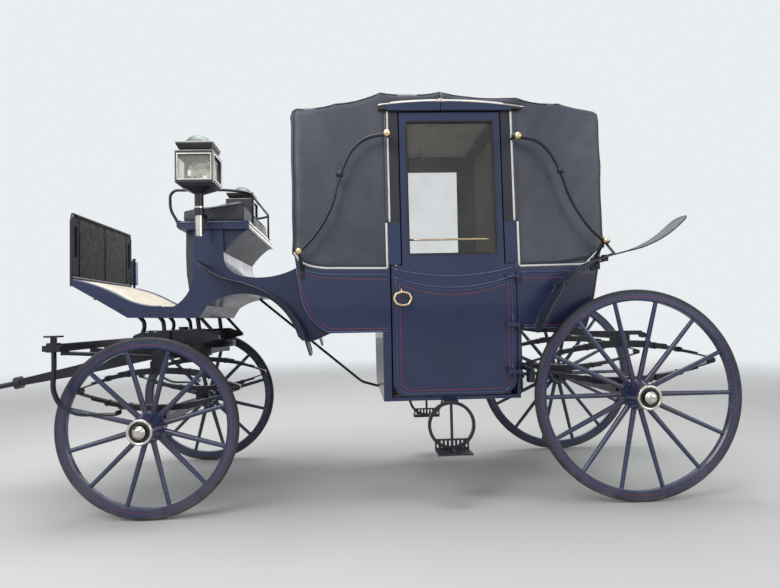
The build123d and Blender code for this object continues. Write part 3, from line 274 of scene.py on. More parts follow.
def spoke_effect():
    """Painted lines of a wheel about its own centre: one round the rim, and a dart on each spoke's root."""
    def build(g, given):
        x, y, z = g.split(g.place())[:3]
        across = g.minus(x, given["Centre X"])
        rise = g.minus(z, given["Centre Z"])
        radius = g.length(across, rise)
        off = g.math("ABSOLUTE", g.minus(radius, given["Rim Line"]))
        rim = g.math("LESS_THAN", off, given["Half Width"])
        turn = g.math("DIVIDE", g.math("ARCTAN2", across, rise), math.tau)
        cell = g.math("FRACT", g.times(turn, given["Spokes"]))
        lean = g.times(g.minus(cell, 0.5), g.math("DIVIDE", math.tau, given["Spokes"]))
        side = g.math("ABSOLUTE", g.times(g.math("SINE", lean), radius))
        root = g.ramp(radius, given["Dart Start"], given["Dart End"])
        dart_half = g.times(g.minus(1.0, root), 0.009)
        dart = g.math("LESS_THAN", g.math("ABSOLUTE", g.minus(side, dart_half)), given["Half Width"])
        near_hub = g.math("GREATER_THAN", radius, given["Dart Start"])
        before = g.math("LESS_THAN", radius, given["Dart End"])
        dart = g.times(dart, g.times(near_hub, before))
        facing = g.split(g.node("TexCoord").outputs["Normal"])[1]
        outside = g.math("GREATER_THAN", g.times(facing, g.math("SIGN", y)), 0.15)
        off_band = g.math("ABSOLUTE", g.minus(g.math("ABSOLUTE", y), given["Band Y"]))
        band = g.times(g.math("LESS_THAN", off_band, 0.003), g.math("LESS_THAN", radius, 0.09))
        painted = g.math("MAXIMUM", rim, g.times(dart, 0.6))
        mask = g.math("MAXIMUM", g.times(painted, outside), band)
        joint_turn = g.math("FRACT", g.times(turn, g.times(given["Spokes"], 0.5)))
        joint = g.math("LESS_THAN", g.times(g.math("ABSOLUTE", g.minus(joint_turn, 0.25)),
                                           radius), 0.0011)
        on_rim = g.math("GREATER_THAN", radius, given["Rim In"])
        return {"Mask": mask, "Joint": g.times(joint, on_rim)}
    return effect("Wheel Lining", {"Centre X": 0.0, "Centre Z": 0.5, "Rim Line": 0.5, "Half Width": 0.0016,
                                   "Spokes": 12.0, "Dart Start": 0.09, "Dart End": 0.2, "Band Y": 0.807,
                                   "Rim In": 0.4}, ["Mask", "Joint"], build)


def surface(name, colour, roughness, metallic=0.0, coat=0.0, coat_roughness=0.05, sheen=0.0, gloss=0.5,
            dust=0.0, reach=0.9, wear=0.0, wear_colour=(0.3, 0.29, 0.28), swell=0.15, swell_scale=3.0,
            grain=None, depth=0.0, detail=None):
    """A Principled material with slow colour change, dust, edge wear and a fine surface from a group."""
    made = bpy.data.materials.new(name)
    made.use_nodes = True
    g = Graph(made.node_tree)
    shader = made.node_tree.nodes["Principled BSDF"]
    palette = bpy.context.scene.carriage_colours
    place = g.place()
    slow = g.noise(place, swell_scale, 4.0, 0.6)
    darker = tuple(c * (1 - swell) for c in colour) + (1,)
    lighter = tuple(min(1, c * (1 + swell)) for c in colour) + (1,)
    tone = g.mix(g.ramp(slow, 0.3, 0.7), darker, lighter)
    patches = g.noise(place, swell_scale * 6, 5.0, 0.6)
    rough = g.ramp(patches, 0.2, 0.8, roughness * 0.8, min(1, roughness * 1.25))
    height = None
    if detail:
        tone = detail(g, tone)
    if grain:
        fine = g.group(grain[0], **grain[1])
        height = fine["Height"]
        tone = g.mix(g.ramp(fine["Tone"], 0.25, 0.75), g.mix(0.14, tone, (0, 0, 0, 1)), tone)
    if wear:
        rub = g.group(wear_effect(), Amount=wear)["Mask"]
        tone = g.mix(rub, tone, (*wear_colour, 1))
        rough = g.plus(rough, g.times(rub, 0.25), clamp=True)
    if dust:
        film = g.group(dust_effect(), Amount=dust, Reach=reach)["Mask"]
        tone = g.mix(film, tone, (*palette.dust, 1))
        rough = g.plus(rough, g.times(film, 0.45), clamp=True)
    g.put(shader.inputs["Base Color"], tone)
    g.put(shader.inputs["Roughness"], rough)
    shader.inputs["Metallic"].default_value = metallic
    shader.inputs["Coat Weight"].default_value = coat
    shader.inputs["Coat Roughness"].default_value = coat_roughness
    shader.inputs["Sheen Weight"].default_value = sheen
    shader.inputs["Specular IOR Level"].default_value = gloss
    if height is not None and depth:
        g.put(shader.inputs["Normal"], g.bump(height, depth))
    return made


def peel_effect():
    """The faint waviness of brushed coach varnish."""
    def build(g, given):
        ripple = g.noise(g.place(), given["Scale"], 2.0, 0.5)
        return {"Height": ripple, "Tone": g.noise(g.place(), 2.0, 3.0, 0.5)}
    return effect("Varnish", {"Scale": 45.0}, ["Height", "Tone"], build)


# The finish that the CAD nodes of each slot take
SLOT_FINISH = {"body_paint": "coach", "black_iron": "iron", "black_leather": "hood", "seat_leather": "seat",
               "cabin_cloth": "cloth", "nickel": "nickel", "brass": "brass", "glass": "glass",
               "tyre_rubber": "rubber", "wheel_paint": "front_wheel"}
MATERIALS = {}


def plate_glass(name, roughness, body, tint):
    """Thin clear glass: it reflects at its face and otherwise lets light straight through."""
    made = bpy.data.materials.new(name)
    made.use_nodes = True
    g = Graph(made.node_tree)
    shader = made.node_tree.nodes["Principled BSDF"]
    haze = g.noise(g.place(), 6.0, 4.0, 0.6)
    shader.inputs["Base Color"].default_value = tint
    g.put(shader.inputs["Roughness"], g.ramp(haze, 0.3, 0.8, roughness * 0.5, roughness * 1.6))
    g.put(shader.inputs["Alpha"], g.ramp(haze, 0.3, 0.8, body * 0.8, body * 1.3))
    shader.inputs["Coat Weight"].default_value = 1.0
    shader.inputs["Coat Roughness"].default_value = 0.02
    return made


# Spokes of each end's wheels, and the distance of their hubs' painted band from the carriage's middle
SPOKES = {"front": 12.0, "rear": 14.0}
HUB_BAND_Y = 0.807


def wheel_lines(end, c):
    """Draws the lining of one end's wheels, which share their centre from the side, on their paint."""
    centre = middle(f"{end}_near_wheel")
    rim = (high(f"{end}_near_wheel").x - low(f"{end}_near_wheel").x) / 2
    given = {"Centre X": centre.x, "Centre Z": centre.z, "Rim Line": rim - 0.019, "Rim In": rim - 0.045,
             "Spokes": SPOKES[end], "Dart Start": 0.085, "Dart End": 0.24, "Band Y": HUB_BAND_Y}

    def lines(g, tone):
        painted = g.group(spoke_effect(), **given)
        tone = g.mix(g.times(painted["Joint"], 0.55), tone, (0.006, 0.006, 0.008, 1))
        return g.mix(g.times(painted["Mask"], 0.88), tone, (*c.lining, 1))

    return lines


def varnish(scale):
    return peel_effect(), {"Scale": scale}


def hide(scale):
    return grain_effect(), {"Scale": scale}


def weave(threads=900.0, fuzz=60.0):
    return weave_effect(), {"Threads": threads, "Fuzz": fuzz}


def shade(colour, share):
    """A colour made lighter or darker."""
    return tuple(v * share for v in colour)


def make_materials():
    """Every finish on the carriage, by a plain name."""
    c = bpy.context.scene.carriage_colours

    def finish(name, title, colour, roughness, **look):
        MATERIALS[name] = surface(title, colour, roughness, **look)

    finish("coach", "coach_paint", c.coach, 0.30, coat=0.30, coat_roughness=0.08, dust=0.16, reach=0.55,
           wear=0.25, swell=0.10, swell_scale=1.6, grain=varnish(40.0), depth=0.0001, gloss=0.35)
    # The mouldings take the coach paint made 1.7 times lighter: a painted highlight along their rounded
    # tops, over the navy paint they really have.
    finish("moulding", "moulding_paint_lightened_as_highlight", shade(c.coach, 1.7), 0.24, coat=0.6, swell=0.08, dust=0.10,
           grain=varnish(40.0), depth=0.0001)
    finish("iron", "black_iron_enamel", c.iron, 0.34, coat=0.22, coat_roughness=0.12, dust=0.09, reach=0.6,
           wear=0.5, wear_colour=(0.13, 0.125, 0.12), swell=0.25, grain=varnish(24.0), depth=0.00005,
           gloss=0.4)
    # The mudguards take the black iron enamel made 1.5 times lighter: a painted reflection giving their
    # undersides a smooth grey look.
    finish("guard", "mudguard_enamel_lightened_as_reflection", shade(c.iron, 1.5), 0.40, coat=0.12, coat_roughness=0.2, dust=0.08,
           reach=0.6, swell=0.15, gloss=0.4)
    finish("hood", "head_leather", c.hood, 0.42, coat=0.10, coat_roughness=0.40, sheen=0.10, dust=0.12,
           reach=0.2, swell=0.26, swell_scale=2.6, grain=hide(210.0), depth=0.0004)
    finish("seat", "seat_leather", c.seat, 0.42, dust=0.12, reach=0.2, swell=0.2, wear=0.3,
           wear_colour=(0.11, 0.11, 0.12), grain=hide(300.0), depth=0.0006)
    finish("patent", "dash_leather", shade(c.seat, 0.26), 0.5, dust=0.04, reach=0.3, swell=0.22,
           swell_scale=5.0, grain=hide(240.0), depth=0.0003, gloss=0.14)
    finish("cloth", "cabin_cloth", c.cloth, 0.85, sheen=0.25, swell=0.10, grain=weave(), depth=0.0002)
    finish("white", "white_beading", c.white, 0.38, dust=0.14, reach=0.4, swell=0.05, swell_scale=8.0,
           grain=varnish(120.0), depth=0.0003)
    finish("lining", "red_lining", c.lining, 0.3, coat=0.4, swell=0.15, dust=0.12)
    finish("brass", "brass", c.brass, 0.22, metallic=1.0, swell=0.14, swell_scale=14.0, wear=0.25,
           wear_colour=(0.92, 0.78, 0.52), grain=varnish(140.0), depth=0.0002)
    finish("nickel", "nickel", c.nickel, 0.18, metallic=1.0, swell=0.14, swell_scale=12.0, dust=0.12,
           reach=0.7, grain=varnish(110.0), depth=0.0002)
    finish("patina", "lamp_dome_nickel", (0.17, 0.205, 0.21), 0.42, metallic=0.35, swell=0.25,
           swell_scale=16.0, dust=0.10, grain=varnish(80.0), depth=0.0003)
    finish("rubber", "tyre_rubber", (0.032, 0.032, 0.040), 0.62, dust=0.32, reach=0.5, swell=0.2,
           grain=hide(120.0), depth=0.0008)
    finish("mat", "footboard_mat", c.mat, 0.9, sheen=0.2, swell=0.12, swell_scale=9.0,
           grain=weave(420.0, 40.0), depth=0.001)
    finish("strip", "weather_strip", (0.030, 0.030, 0.036), 0.7, swell=0.2, grain=weave(700.0), depth=0.0001)
    finish("post", "post_leather", (0.030, 0.031, 0.040), 0.5, dust=0.06, reach=0.2, swell=0.2,
           grain=hide(180.0), depth=0.0003, gloss=0.35)
    finish("candle", "candle_wax", (0.78, 0.74, 0.62), 0.5, swell=0.05)
    for end in ("front", "rear"):
        finish(f"{end}_wheel", f"{end}_wheel_paint", c.coach, 0.28, coat=0.45, coat_roughness=0.08,
               dust=0.14, reach=0.4, wear=0.4, wear_colour=(0.16, 0.14, 0.13), swell=0.16, swell_scale=4.0,
               grain=varnish(60.0), depth=0.0001, detail=wheel_lines(end, c))
    MATERIALS["glass"] = plate_glass("plate_glass", 0.03, 0.08, (0.34, 0.35, 0.33, 1))
    MATERIALS["lamp_glass"] = plate_glass("bevelled_glass", 0.05, 0.20, (0.70, 0.69, 0.62, 1))


# Mesh pieces

def keep(bm, name, finish, body="carriage", smooth=True):
    """Turns a bmesh into a finished piece that rides on a body."""
    bmesh.ops.recalc_face_normals(bm, faces=bm.faces)
    mesh = bpy.data.meshes.new(name)
    bm.to_mesh(mesh)
    bm.free()
    piece = bpy.data.objects.new(name, mesh)
    bpy.context.scene.collection.objects.link(piece)
    mesh.materials.append(MATERIALS[finish])
    if smooth:
        mesh.shade_smooth()
    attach(piece, body)
    return piece


def modify(piece, kind, **settings):
    made = piece.modifiers.new(kind.title(), kind)
    for name, value in settings.items():
        setattr(made, name, value)
    return made


def half_round(radius, steps=6):
    """Section of a half-round bead: (across, out) from one foot to the other."""
    turns = [math.pi * i / steps for i in range(steps + 1)]
    return [(-radius * math.cos(a), radius * math.sin(a)) for a in turns]


def full_round(radius, steps=10):
    """Section of a round bead or rod."""
    turns = [math.tau * i / steps for i in range(steps)]
    return [(radius * math.cos(a), radius * math.sin(a)) for a in turns]


def ribbon(width, thick):
    """Section of a painted line or flat strip."""
    half = width / 2
    return [(-half, 0), (-half * 0.7, thick), (half * 0.7, thick), (half, 0)]


def sweep(bm, section, path, out, loop=False):
    """Extrudes a closed section along a path; out gives the outward direction at each of its points."""
    count = len(path)
    rings = []
    for i in range(count):
        before = path[i - 1] if i or loop else path[i]
        after = path[(i + 1) % count] if i < count - 1 or loop else path[i]
        tangent = (after - before).normalized()
        side = tangent.cross(out[i]).normalized()
        rise = side.cross(tangent).normalized()
        rings.append([path[i] + side * a + rise * b for a, b in section])
    first = [bm.verts.new(p) for p in rings[0]]
    row = [bm.edges.new(pair) for pair in zip(first, first[1:] + first[:1])]
    start = first
    for ring in rings[1:]:
        grown = bmesh.ops.extrude_edge_only(bm, edges=row)["geom"]
        fresh = {v for v in grown if isinstance(v, bmesh.types.BMVert)}
        first = [next(e.other_vert(vert) for e in vert.link_edges if e.other_vert(vert) in fresh)
                 for vert in first]
        for vert, spot in zip(first, ring):
            vert.co = spot
        row = [bm.edges.get(pair) for pair in zip(first, first[1:] + first[:1])]
    if loop:
        pairs = zip(start, start[1:] + start[:1])
        bmesh.ops.bridge_loops(bm, edges=row + [bm.edges.get(pair) for pair in pairs])
    else:
        for ring in (start, first):
            bm.faces.new(ring)


def spin_profile(bm, points, axis_point, axis, steps=48):
    """A turned form: (along, radius) points spun a full turn about an axis."""
    axis = Vector(axis).normalized()
    aside = axis.orthogonal().normalized()
    start = [bm.verts.new(axis_point + axis * along + aside * radius) for along, radius in points]
    edges = [bm.edges.new(pair) for pair in zip(start, start[1:])]
    bmesh.ops.spin(bm, geom=start + edges, cent=axis_point, axis=axis, angle=math.tau, steps=steps,
                   use_merge=True, use_duplicate=False)
    bmesh.ops.remove_doubles(bm, verts=bm.verts, dist=1e-6)


def disc_bolt(bm, spot, axis, radius, tall, sides=6):
    """A bolt head or nut standing on a surface."""
    turn = UP.rotation_difference(Vector(axis)).to_matrix().to_4x4()
    shift = Matrix.Translation(Vector(spot) + Vector(axis).normalized() * tall / 2)
    bmesh.ops.create_cone(bm, cap_ends=True, segments=sides, radius1=radius, radius2=radius * 0.92,
                          depth=tall, matrix=shift @ turn)


def dome(bm, spot, axis, radius, tall):
    """A round rivet head."""
    turn = UP.rotation_difference(Vector(axis)).to_matrix().to_4x4()
    flat = Matrix.Diagonal((1, 1, tall / radius, 1))
    bmesh.ops.create_uvsphere(bm, u_segments=12, v_segments=8, radius=radius,
                              matrix=Matrix.Translation(spot) @ turn @ flat)


def slab(bm, lower, upper, edge=0.0, segments=2):
    """A box between two corners with its edges rounded."""
    lower, upper = Vector(map(min, lower, upper)), Vector(map(max, lower, upper))
    size = upper - lower
    made = bmesh.ops.create_cube(bm, size=1, matrix=Matrix.Translation((lower + upper) / 2)
                                 @ Matrix.Diagonal((*size, 1)))
    if edge:
        verts = made["verts"]
        edges = {e for v in verts for e in v.link_edges}
        bmesh.ops.bevel(bm, geom=list(edges), offset=edge, offset_type="OFFSET", affect="EDGES",
                        segments=segments, profile=0.5, material=-1)


def pipe(bm, path, radius, across, sides=10, loop=False):
    """A round rod along a path that lies square to a direction."""
    path = [Vector(spot) for spot in path]
    sweep(bm, full_round(radius, sides), path, [Vector(across)] * len(path), loop=loop)


def square_route(centre, half):
    """Round a level square whose corners are turned."""
    corner, steps = 0.006, 4
    made = []
    for quarter in range(4):
        aim = math.pi / 2 * quarter
        hub = Vector((half - corner, half - corner, 0))
        for i in range(steps + 1):
            a = math.pi / 2 * i / steps
            spot = hub + Vector((math.cos(a), math.sin(a), 0)) * corner
            made.append(Vector(centre) + Matrix.Rotation(aim, 3, "Z") @ spot)
    return made


def trees():
    """Search trees of the CAD nodes that trim is laid on."""
    found = {}

    def of(name):
        if name not in found:
            node = NODES[name].data
            node.calc_loop_triangles()
            corners = [v.co for v in node.vertices]
            found[name] = BVHTree.FromPolygons(corners, [t.vertices for t in node.loop_triangles])
        return found[name]
    return of


TREE = trees()


def on_side(names, x, z, side, lift=0.0):
    """Where a line along Y from outside first meets a node, and the way out from there."""
    start = Vector((x, side * OUTSIDE, z))
    best = None
    for name in names:
        spot, normal, _, distance = TREE(name).ray_cast(start, Vector((0, -side, 0)))
        if spot is not None and (best is None or distance < best[2]):
            best = (spot, normal, distance)
    if best is None:
        return None
    spot, normal, _ = best
    if normal.y * side < 0:
        normal = -normal
    return spot + normal * lift, normal


def curve_through(points, steps=8):
    """A smooth line through a few (x, z) points, by Catmull-Rom spans."""
    spots = [Vector(p) for p in points]
    ends = [2 * spots[0] - spots[1]] + spots + [2 * spots[-1] - spots[-2]]
    made = []
    for a, b, c, d in zip(ends, ends[1:], ends[2:], ends[3:]):
        for i in range(steps):
            t = i / steps
            made.append(0.5 * ((2 * b) + (c - a) * t + (2 * a - 5 * b + 4 * c - d) * t * t
                               + (3 * b - a - 3 * c + d) * t ** 3))
    made.append(spots[-1])
    return made


def laid(names, line, side, lift=0.0):
    """A line of (x, z) points pressed onto the side of some nodes."""
    path, out = [], []
    for x, z in line:
        hit = on_side(names, x, z, side, lift)
        if hit is not None:
            path.append(hit[0])
            out.append(hit[1])
    return path, out


def arc_line(x0, x1, z_ends, z_mid):
    """A shallow arc between two uprights, lowest in the middle."""
    steps, half = 24, (x1 - x0) / 2
    places = [x0 + (x1 - x0) * i / steps for i in range(steps + 1)]
    return [(x, z_mid + (z_ends - z_mid) * ((x - (x0 + half)) / half) ** 2) for x in places]


# The leather head

DOOR_X = middle("near_door_frame").x
POST_OUT = 0.366
# (x, eaves, crown) of the roof over each bow, from the head's split to its end
FRONT_ROOF = [(0.584, 2.304, 2.335), (0.249, 2.302, 2.329), (-0.004, 2.246, 2.276), (-0.262, 2.223, 2.247)]
REAR_ROOF = [(0.586, 2.304, 2.335), (1.021, 2.272, 2.300), (1.273, 2.237, 2.263), (1.520, 2.192, 2.212)]
# The sides lean in from LEAN_FOOT to CORNICE_TOP, and draw in towards the head's ends
SIDE_LEAN = 0.028
END_NARROWING = 0.030
LEAN_FOOT = 1.25
CORNICE_TOP = 2.217
EAVE_ROUND = 0.040
ROWS_SIDE, ROWS_CORNICE, ROWS_EAVE, ROWS_ROOF = 38, 2, 6, 18
# Points of the sides and the end wall that lie closer than this are sewn into one
SEAM_WELD = 0.0004


def head_frame(end):
    """What one half of the head is built to: node, roof's bows, outward direction and pillar."""
    if end == "front":
        node, roof, toward = "front_head", FRONT_ROOF, -1
        pillar = DOOR_X - POST_OUT
    else:
        node, roof, toward = "rear_head", REAR_ROOF, 1
        pillar = DOOR_X + POST_OUT
    return node, roof, toward, pillar


def belt_height(node, x):
    """Lower edge of the head's side at x, from the CAD head itself."""
    under, over = 1.2, 1.5
    for _ in range(12):
        z = (under + over) / 2
        spot = TREE(node).ray_cast(Vector((x, -OUTSIDE, z)), Vector((0, 1, 0)))[0]
        if spot is not None and spot.y < -0.3:
            over = z
        else:
            under = z
    return over


def eased(bows, x, sag):
    """Eaves and crown at x, with the roof leather hanging a little between two bows."""
    for (x0, eaves0, crown0), (x1, eaves1, crown1) in zip(bows, bows[1:]):
        if min(x0, x1) - 1e-6 <= x <= max(x0, x1) + 1e-6:
            t = (x - x0) / (x1 - x0)
            dip = sag * 4 * t * (1 - t) * min(1.0, abs(x1 - x0) / 0.3)
            return eaves0 + (eaves1 - eaves0) * t - dip * 0.75, crown0 + (crown1 - crown0) * t - dip
    return bows[-1][1], bows[-1][2]


def head_ring(end, x, inward, sizes, inset=0.0):
    """Points of the near half of the head's section at x, from the belt to the crown."""
    node, roof, toward, pillar = head_frame(end)
    x_end = roof[-1][0]
    reach = abs(x_end - pillar)
    beyond = max(0.0, (x - pillar) * toward)
    narrow = END_NARROWING * beyond / reach * 0.95 + inward + inset
    x_roof = x if (x_end - x) * toward >= 0 else x_end
    eaves, crown = eased(roof, x_roof, sizes.sag)
    eaves, crown = eaves - inward - inset, crown - inward - inset
    held = min(max(x * toward, pillar * toward + 0.012), x_end * toward - 0.02) * toward
    belt = belt_height(node, held)
    half_belt = high("quarter_panels").y

    def half(z):
        return half_belt - SIDE_LEAN * (z - LEAN_FOOT) / (CORNICE_TOP - LEAN_FOOT) - narrow

    points = []
    for i in range(ROWS_SIDE):
        z = belt + (CORNICE_TOP + 0.002 - belt) * i / ROWS_SIDE
        z = min(z, eaves - EAVE_ROUND)
        points.append((half(z), z))
    top = max(eaves - EAVE_ROUND, min(CORNICE_TOP + 0.002, eaves - EAVE_ROUND))
    foot = min(CORNICE_TOP + 0.002, top)
    for i in range(ROWS_CORNICE):
        z = foot + (top - foot) * i / ROWS_CORNICE
        points.append((half(z), z))
    side = half(top)
    for i in range(ROWS_EAVE):
        a = math.pi / 2 * i / ROWS_EAVE
        points.append((side - EAVE_ROUND * (1 - math.cos(a)), top + EAVE_ROUND * math.sin(a)))
    flat = side - EAVE_ROUND
    for i in range(ROWS_ROOF + 1):
        y = flat * (1 - i / ROWS_ROOF)
        points.append((y, crown - (crown - eaves) * (y / flat) ** 2))
    return points


def head_stations(end, sizes, inward=0.0):
    """(x, inset) of the head's sections: even steps to the end's rounded corner, then round it."""
    _, roof, toward, pillar = head_frame(end)
    x0, x_end = roof[0][0], roof[-1][0] - toward * inward
    bend = x_end - toward * sizes.corner
    marks = [x0, pillar] + [bow[0] for bow in roof[1:-1]] + [bend]
    marks.sort(key=lambda x: (x - x0) * toward)
    stations = []
    for a, b in zip(marks, marks[1:]):
        steps = max(1, round(abs(b - a) / 0.024))
        stations += [(a + (b - a) * i / steps, 0.0) for i in range(steps)]
    turns, corner = 6, sizes.corner
    for i in range(turns + 1):
        angle = math.pi / 2 * i / turns
        stations.append((bend + toward * corner * math.sin(angle), corner * (1 - math.cos(angle))))
    return stations


def crease_height(p, toward):
    """Soft folds that run down from the bows' corners towards the belt."""
    slant = p.x * toward * 0.9 + p.z
    across = p.x * toward - p.z * 0.9
    long_fold = noise.noise(Vector((slant * 1.1, across * 5.5, p.y * 1.3 + 7)))
    small = noise.noise(Vector((p.x * 4.2, p.y * 3.1, p.z * 3.4 + 20)))
    slack = noise.noise(Vector((p.x * 1.3 + 3, p.y * 1.5, p.z * 1.2)))
    line = noise.noise(Vector((slant * 0.8 + 11, across * 2.3, p.y * 0.8)))
    ridge = max(0.0, 1 - abs(line) * 6) ** 2
    return 0.5 * long_fold + 0.25 * small + 0.6 * slack + 0.38 * ridge


def make_head(end, sizes, inward=0.0):
    """One half of the head as one skin of sides, roof and end wall: the leather, or the lining inside."""
    _, _, toward, pillar = head_frame(end)
    stations = head_stations(end, sizes, inward)
    rings = [head_ring(end, x, inward, sizes, inset) for x, inset in stations]
    around = 2 * len(rings[0]) - 1
    bm = bmesh.new()
    bmesh.ops.create_grid(bm, x_segments=len(stations) - 1, y_segments=around - 1, size=1)
    bm.verts.ensure_lookup_table()
    ordered = sorted(bm.verts, key=lambda v: (round(v.co.x, 5), round(v.co.y, 5)))
    doomed = []
    for i, (x, inset) in enumerate(stations):
        ring = rings[i]
        whole = [(-y, z) for y, z in ring] + [(y, z) for y, z in reversed(ring[:-1])]
        for j, (y, z) in enumerate(whole):
            vert = ordered[i * around + j]
            vert.co = Vector((x, y, z))
    for face in bm.faces:
        spot = face.calc_center_median()
        if (spot.x - pillar) * toward < 0 and spot.z < CORNICE_TOP:
            doomed.append(face)
    bmesh.ops.delete(bm, geom=doomed, context="FACES")
    last = rings[-1]
    side_rows = ROWS_SIDE + ROWS_CORNICE + ROWS_EAVE
    across = 2 * ROWS_ROOF
    wall = bmesh.ops.create_grid(bm, x_segments=across, y_segments=side_rows, size=3)["verts"]
    wall.sort(key=lambda v: (round(v.co.x, 5), round(v.co.y, 5)))
    x_end = stations[-1][0]
    roof_points = [(-y, z) for y, z in last[side_rows:]] + [(y, z) for y, z in reversed(last[side_rows:-1])]
    edge_y = abs(roof_points[0][0])
    for column in range(across + 1):
        roof_y, roof_z = roof_points[column]
        for row in range(side_rows + 1):
            side_y, side_z = last[row]
            share = roof_y / edge_y
            lift = (roof_z - last[side_rows][1]) * (row / side_rows) ** 3
            wall[column * (side_rows + 1) + row].co = Vector((x_end, share * side_y, side_z + lift))
    bmesh.ops.remove_doubles(bm, verts=bm.verts, dist=SEAM_WELD)
    bmesh.ops.recalc_face_normals(bm, faces=bm.faces)
    bm.normal_update()
    if not inward:
        settle_leather(bm, toward, sizes)
    return bm


# The leather lies still at its sewn edges, is free this far from them, and is pulled in by these depths
EDGE_HOLD, SIDE_HOLLOW, ROOF_HOLLOW = 0.10, 0.006, 0.002


def settle_leather(bm, toward, sizes):
    """Pulls the skin in between its held edges and raises soft folds, fading to the sewn edges."""
    held = [v.co.copy() for v in bm.verts if v.is_boundary][::3]
    moves = []
    for vert in bm.verts:
        from_edge = math.sqrt(min((vert.co - spot).length_squared for spot in held))
        fade = min(1.0, from_edge / EDGE_HOLD)
        fade = fade * fade * (3 - 2 * fade)
        hollow = -SIDE_HOLLOW if abs(vert.normal.z) < 0.5 else -ROOF_HOLLOW
        lift = sizes.crease * crease_height(vert.co, toward) + hollow
        moves.append((vert, vert.normal * lift * fade))
    for vert, move in moves:
        vert.co += move


# Size of each leather piece laid flat, round the head by along it, and its area
LEATHER_SHEETS = {"front": ((2.98, 1.70), 2.9), "rear": ((2.98, 1.80), 3.1)}


class CARRIAGE_OT_leather_heads(bpy.types.Operator):
    """Stretches the front and rear leather over the bows"""
    bl_idname = "carriage.leather_heads"
    bl_label = "Leather heads"

    def execute(self, context):
        sizes = context.scene.carriage_sizes
        for end, (flat, area) in LEATHER_SHEETS.items():
            piece = keep(make_head(end, sizes), f"{end}_leather_head", "hood")
            modify(piece, "SOLIDIFY", thickness=sizes.leather, offset=-1)
            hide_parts(f"{end}_head")
        return {"FINISHED"}


# CAD nodes whose finish isn't the one of their slot
NODE_FINISH = {"rear_near_wheel": "rear_wheel", "rear_far_wheel": "rear_wheel", "lamp_glass": "lamp_glass",
               "dash_panel": "patent", "front_head_frame": "post", "rear_head_frame": "post",
               "front_fenders": "guard", "rear_fenders": "guard"}


class CARRIAGE_OT_cad_finishes(bpy.types.Operator):
    """Gives each carried-over node its finish"""
    bl_idname = "carriage.cad_finishes"
    bl_label = "Finishes"

    def execute(self, context):
        make_materials()
        slots = {row["node"]: row["material_slot"] for row in frame["record"]["subparts"]}
        for name, node in NODES.items():
            finish = MATERIALS[NODE_FINISH.get(name, SLOT_FINISH[slots[name]])]
            node.data.materials.clear()
            node.data.materials.append(finish)
        return {"FINISHED"}


# Beading, mouldings and lining on the body
# Lines are given from the side as (x from the doorway's middle, z)

BELT_BEAD_FRONT = [(-0.880, 1.395), (-0.834, 1.337), (-0.737, 1.308), (-0.600, 1.302), (-0.368, 1.297)]
BELT_BEAD_REAR = [(0.372, 1.297), (0.597, 1.300), (0.739, 1.304), (0.775, 1.327), (0.846, 1.394)]
LOWER_POST, UPPER_POST = 0.368, 0.350
POST_FOOT, POST_STEP, POST_HEAD = 1.297, 1.548, 2.178
MOULDING_DROP = 0.036
PANEL_EDGE_FRONT = [(-0.866, 1.300), (-0.842, 1.136), (-0.811, 1.052), (-0.764, 0.994), (-0.717, 0.962),
                    (-0.680, 0.952), (-0.600, 0.951), (-0.370, 0.951)]
PANEL_EDGE_REAR = [(0.372, 0.951), (0.600, 0.951), (0.744, 0.951), (0.776, 1.050), (0.826, 1.305)]
RED_FRONT = [(-0.360, 1.232), (-0.602, 1.244), (-0.744, 1.256), (-0.832, 1.282), (-0.852, 1.276),
             (-0.851, 1.236), (-0.836, 1.172), (-0.806, 1.083), (-0.768, 1.026), (-0.716, 0.988),
             (-0.650, 0.968), (-0.360, 0.967)]
RED_REAR = [(0.382, 1.228), (0.597, 1.230), (0.757, 1.240), (0.800, 1.238), (0.795, 1.180), (0.765, 1.060),
            (0.744, 0.990), (0.725, 0.967), (0.600, 0.966), (0.382, 0.966)]
LINE_THICK = 0.0007
BAND_OUT, BAND_WIDE, BAND_THICK = 0.011, 0.020, 0.005
DOOR_REACH = 0.338
# Heights of each arched moulding on the doors, at its ends and in the middle
DOOR_ARCHES = ((1.292, 1.247), (1.246, 1.184))
# The doors' moulded border and red line: inset, top at the ends and in the middle, foot and corner
DOOR_BORDER, DOOR_RED = (0.016, 1.228, 1.166, 0.600, 0.075), (0.036, 1.206, 1.144, 0.616, 0.07)
BORDER_RADIUS = 0.0035
PANE_EDGE = 0.004
RUN_WIDE = 0.003
# How far in front of and behind the pane's outer face each of its two runs reaches
GLASS_RUNS = ((0.0005, 0.0105), (-0.0055, -0.0165))
WINDOW_RAIL_IN, WINDOW_RAIL_RISE, WINDOW_RAIL_RADIUS = 0.014, 0.082, 0.0055


def straight(*points, step=0.02):
    """Points at even steps along straight runs."""
    made = []
    for (x0, z0), (x1, z1) in zip(points, points[1:]):
        steps = max(1, round(math.hypot(x1 - x0, z1 - z0) / step))
        made += [(x0 + (x1 - x0) * i / steps, z0 + (z1 - z0) * i / steps) for i in range(steps)]
    return made + [points[-1]]


def closed_route(corners, step):
    """Points at even steps all the way round a few corners."""
    sides = zip(corners, corners[1:] + corners[:1])
    return [spot for a, b in sides for spot in straight(a, b, step=step)[:-1]]


def rounded(points, radius):
    """A route of (x, z) points whose corners are turned on arcs."""
    steps, made = 5, [points[0]]
    for a, b, c in zip(points, points[1:], points[2:]):
        a, b, c = Vector(a), Vector(b), Vector(c)
        into, out = (b - a).normalized(), (c - b).normalized()
        cut = min(radius * math.tan(into.angle(out, 0) / 2), (b - a).length * 0.49, (c - b).length * 0.49)
        start, end = b - into * cut, b + out * cut
        for i in range(steps + 1):
            t = i / steps
            spot = start * (1 - t) ** 2 + b * 2 * t * (1 - t) + end * t * t
            made.append((spot.x, spot.y))
    return made + [points[-1]]


def from_door(points):
    return [(DOOR_X + x, z) for x, z in points]


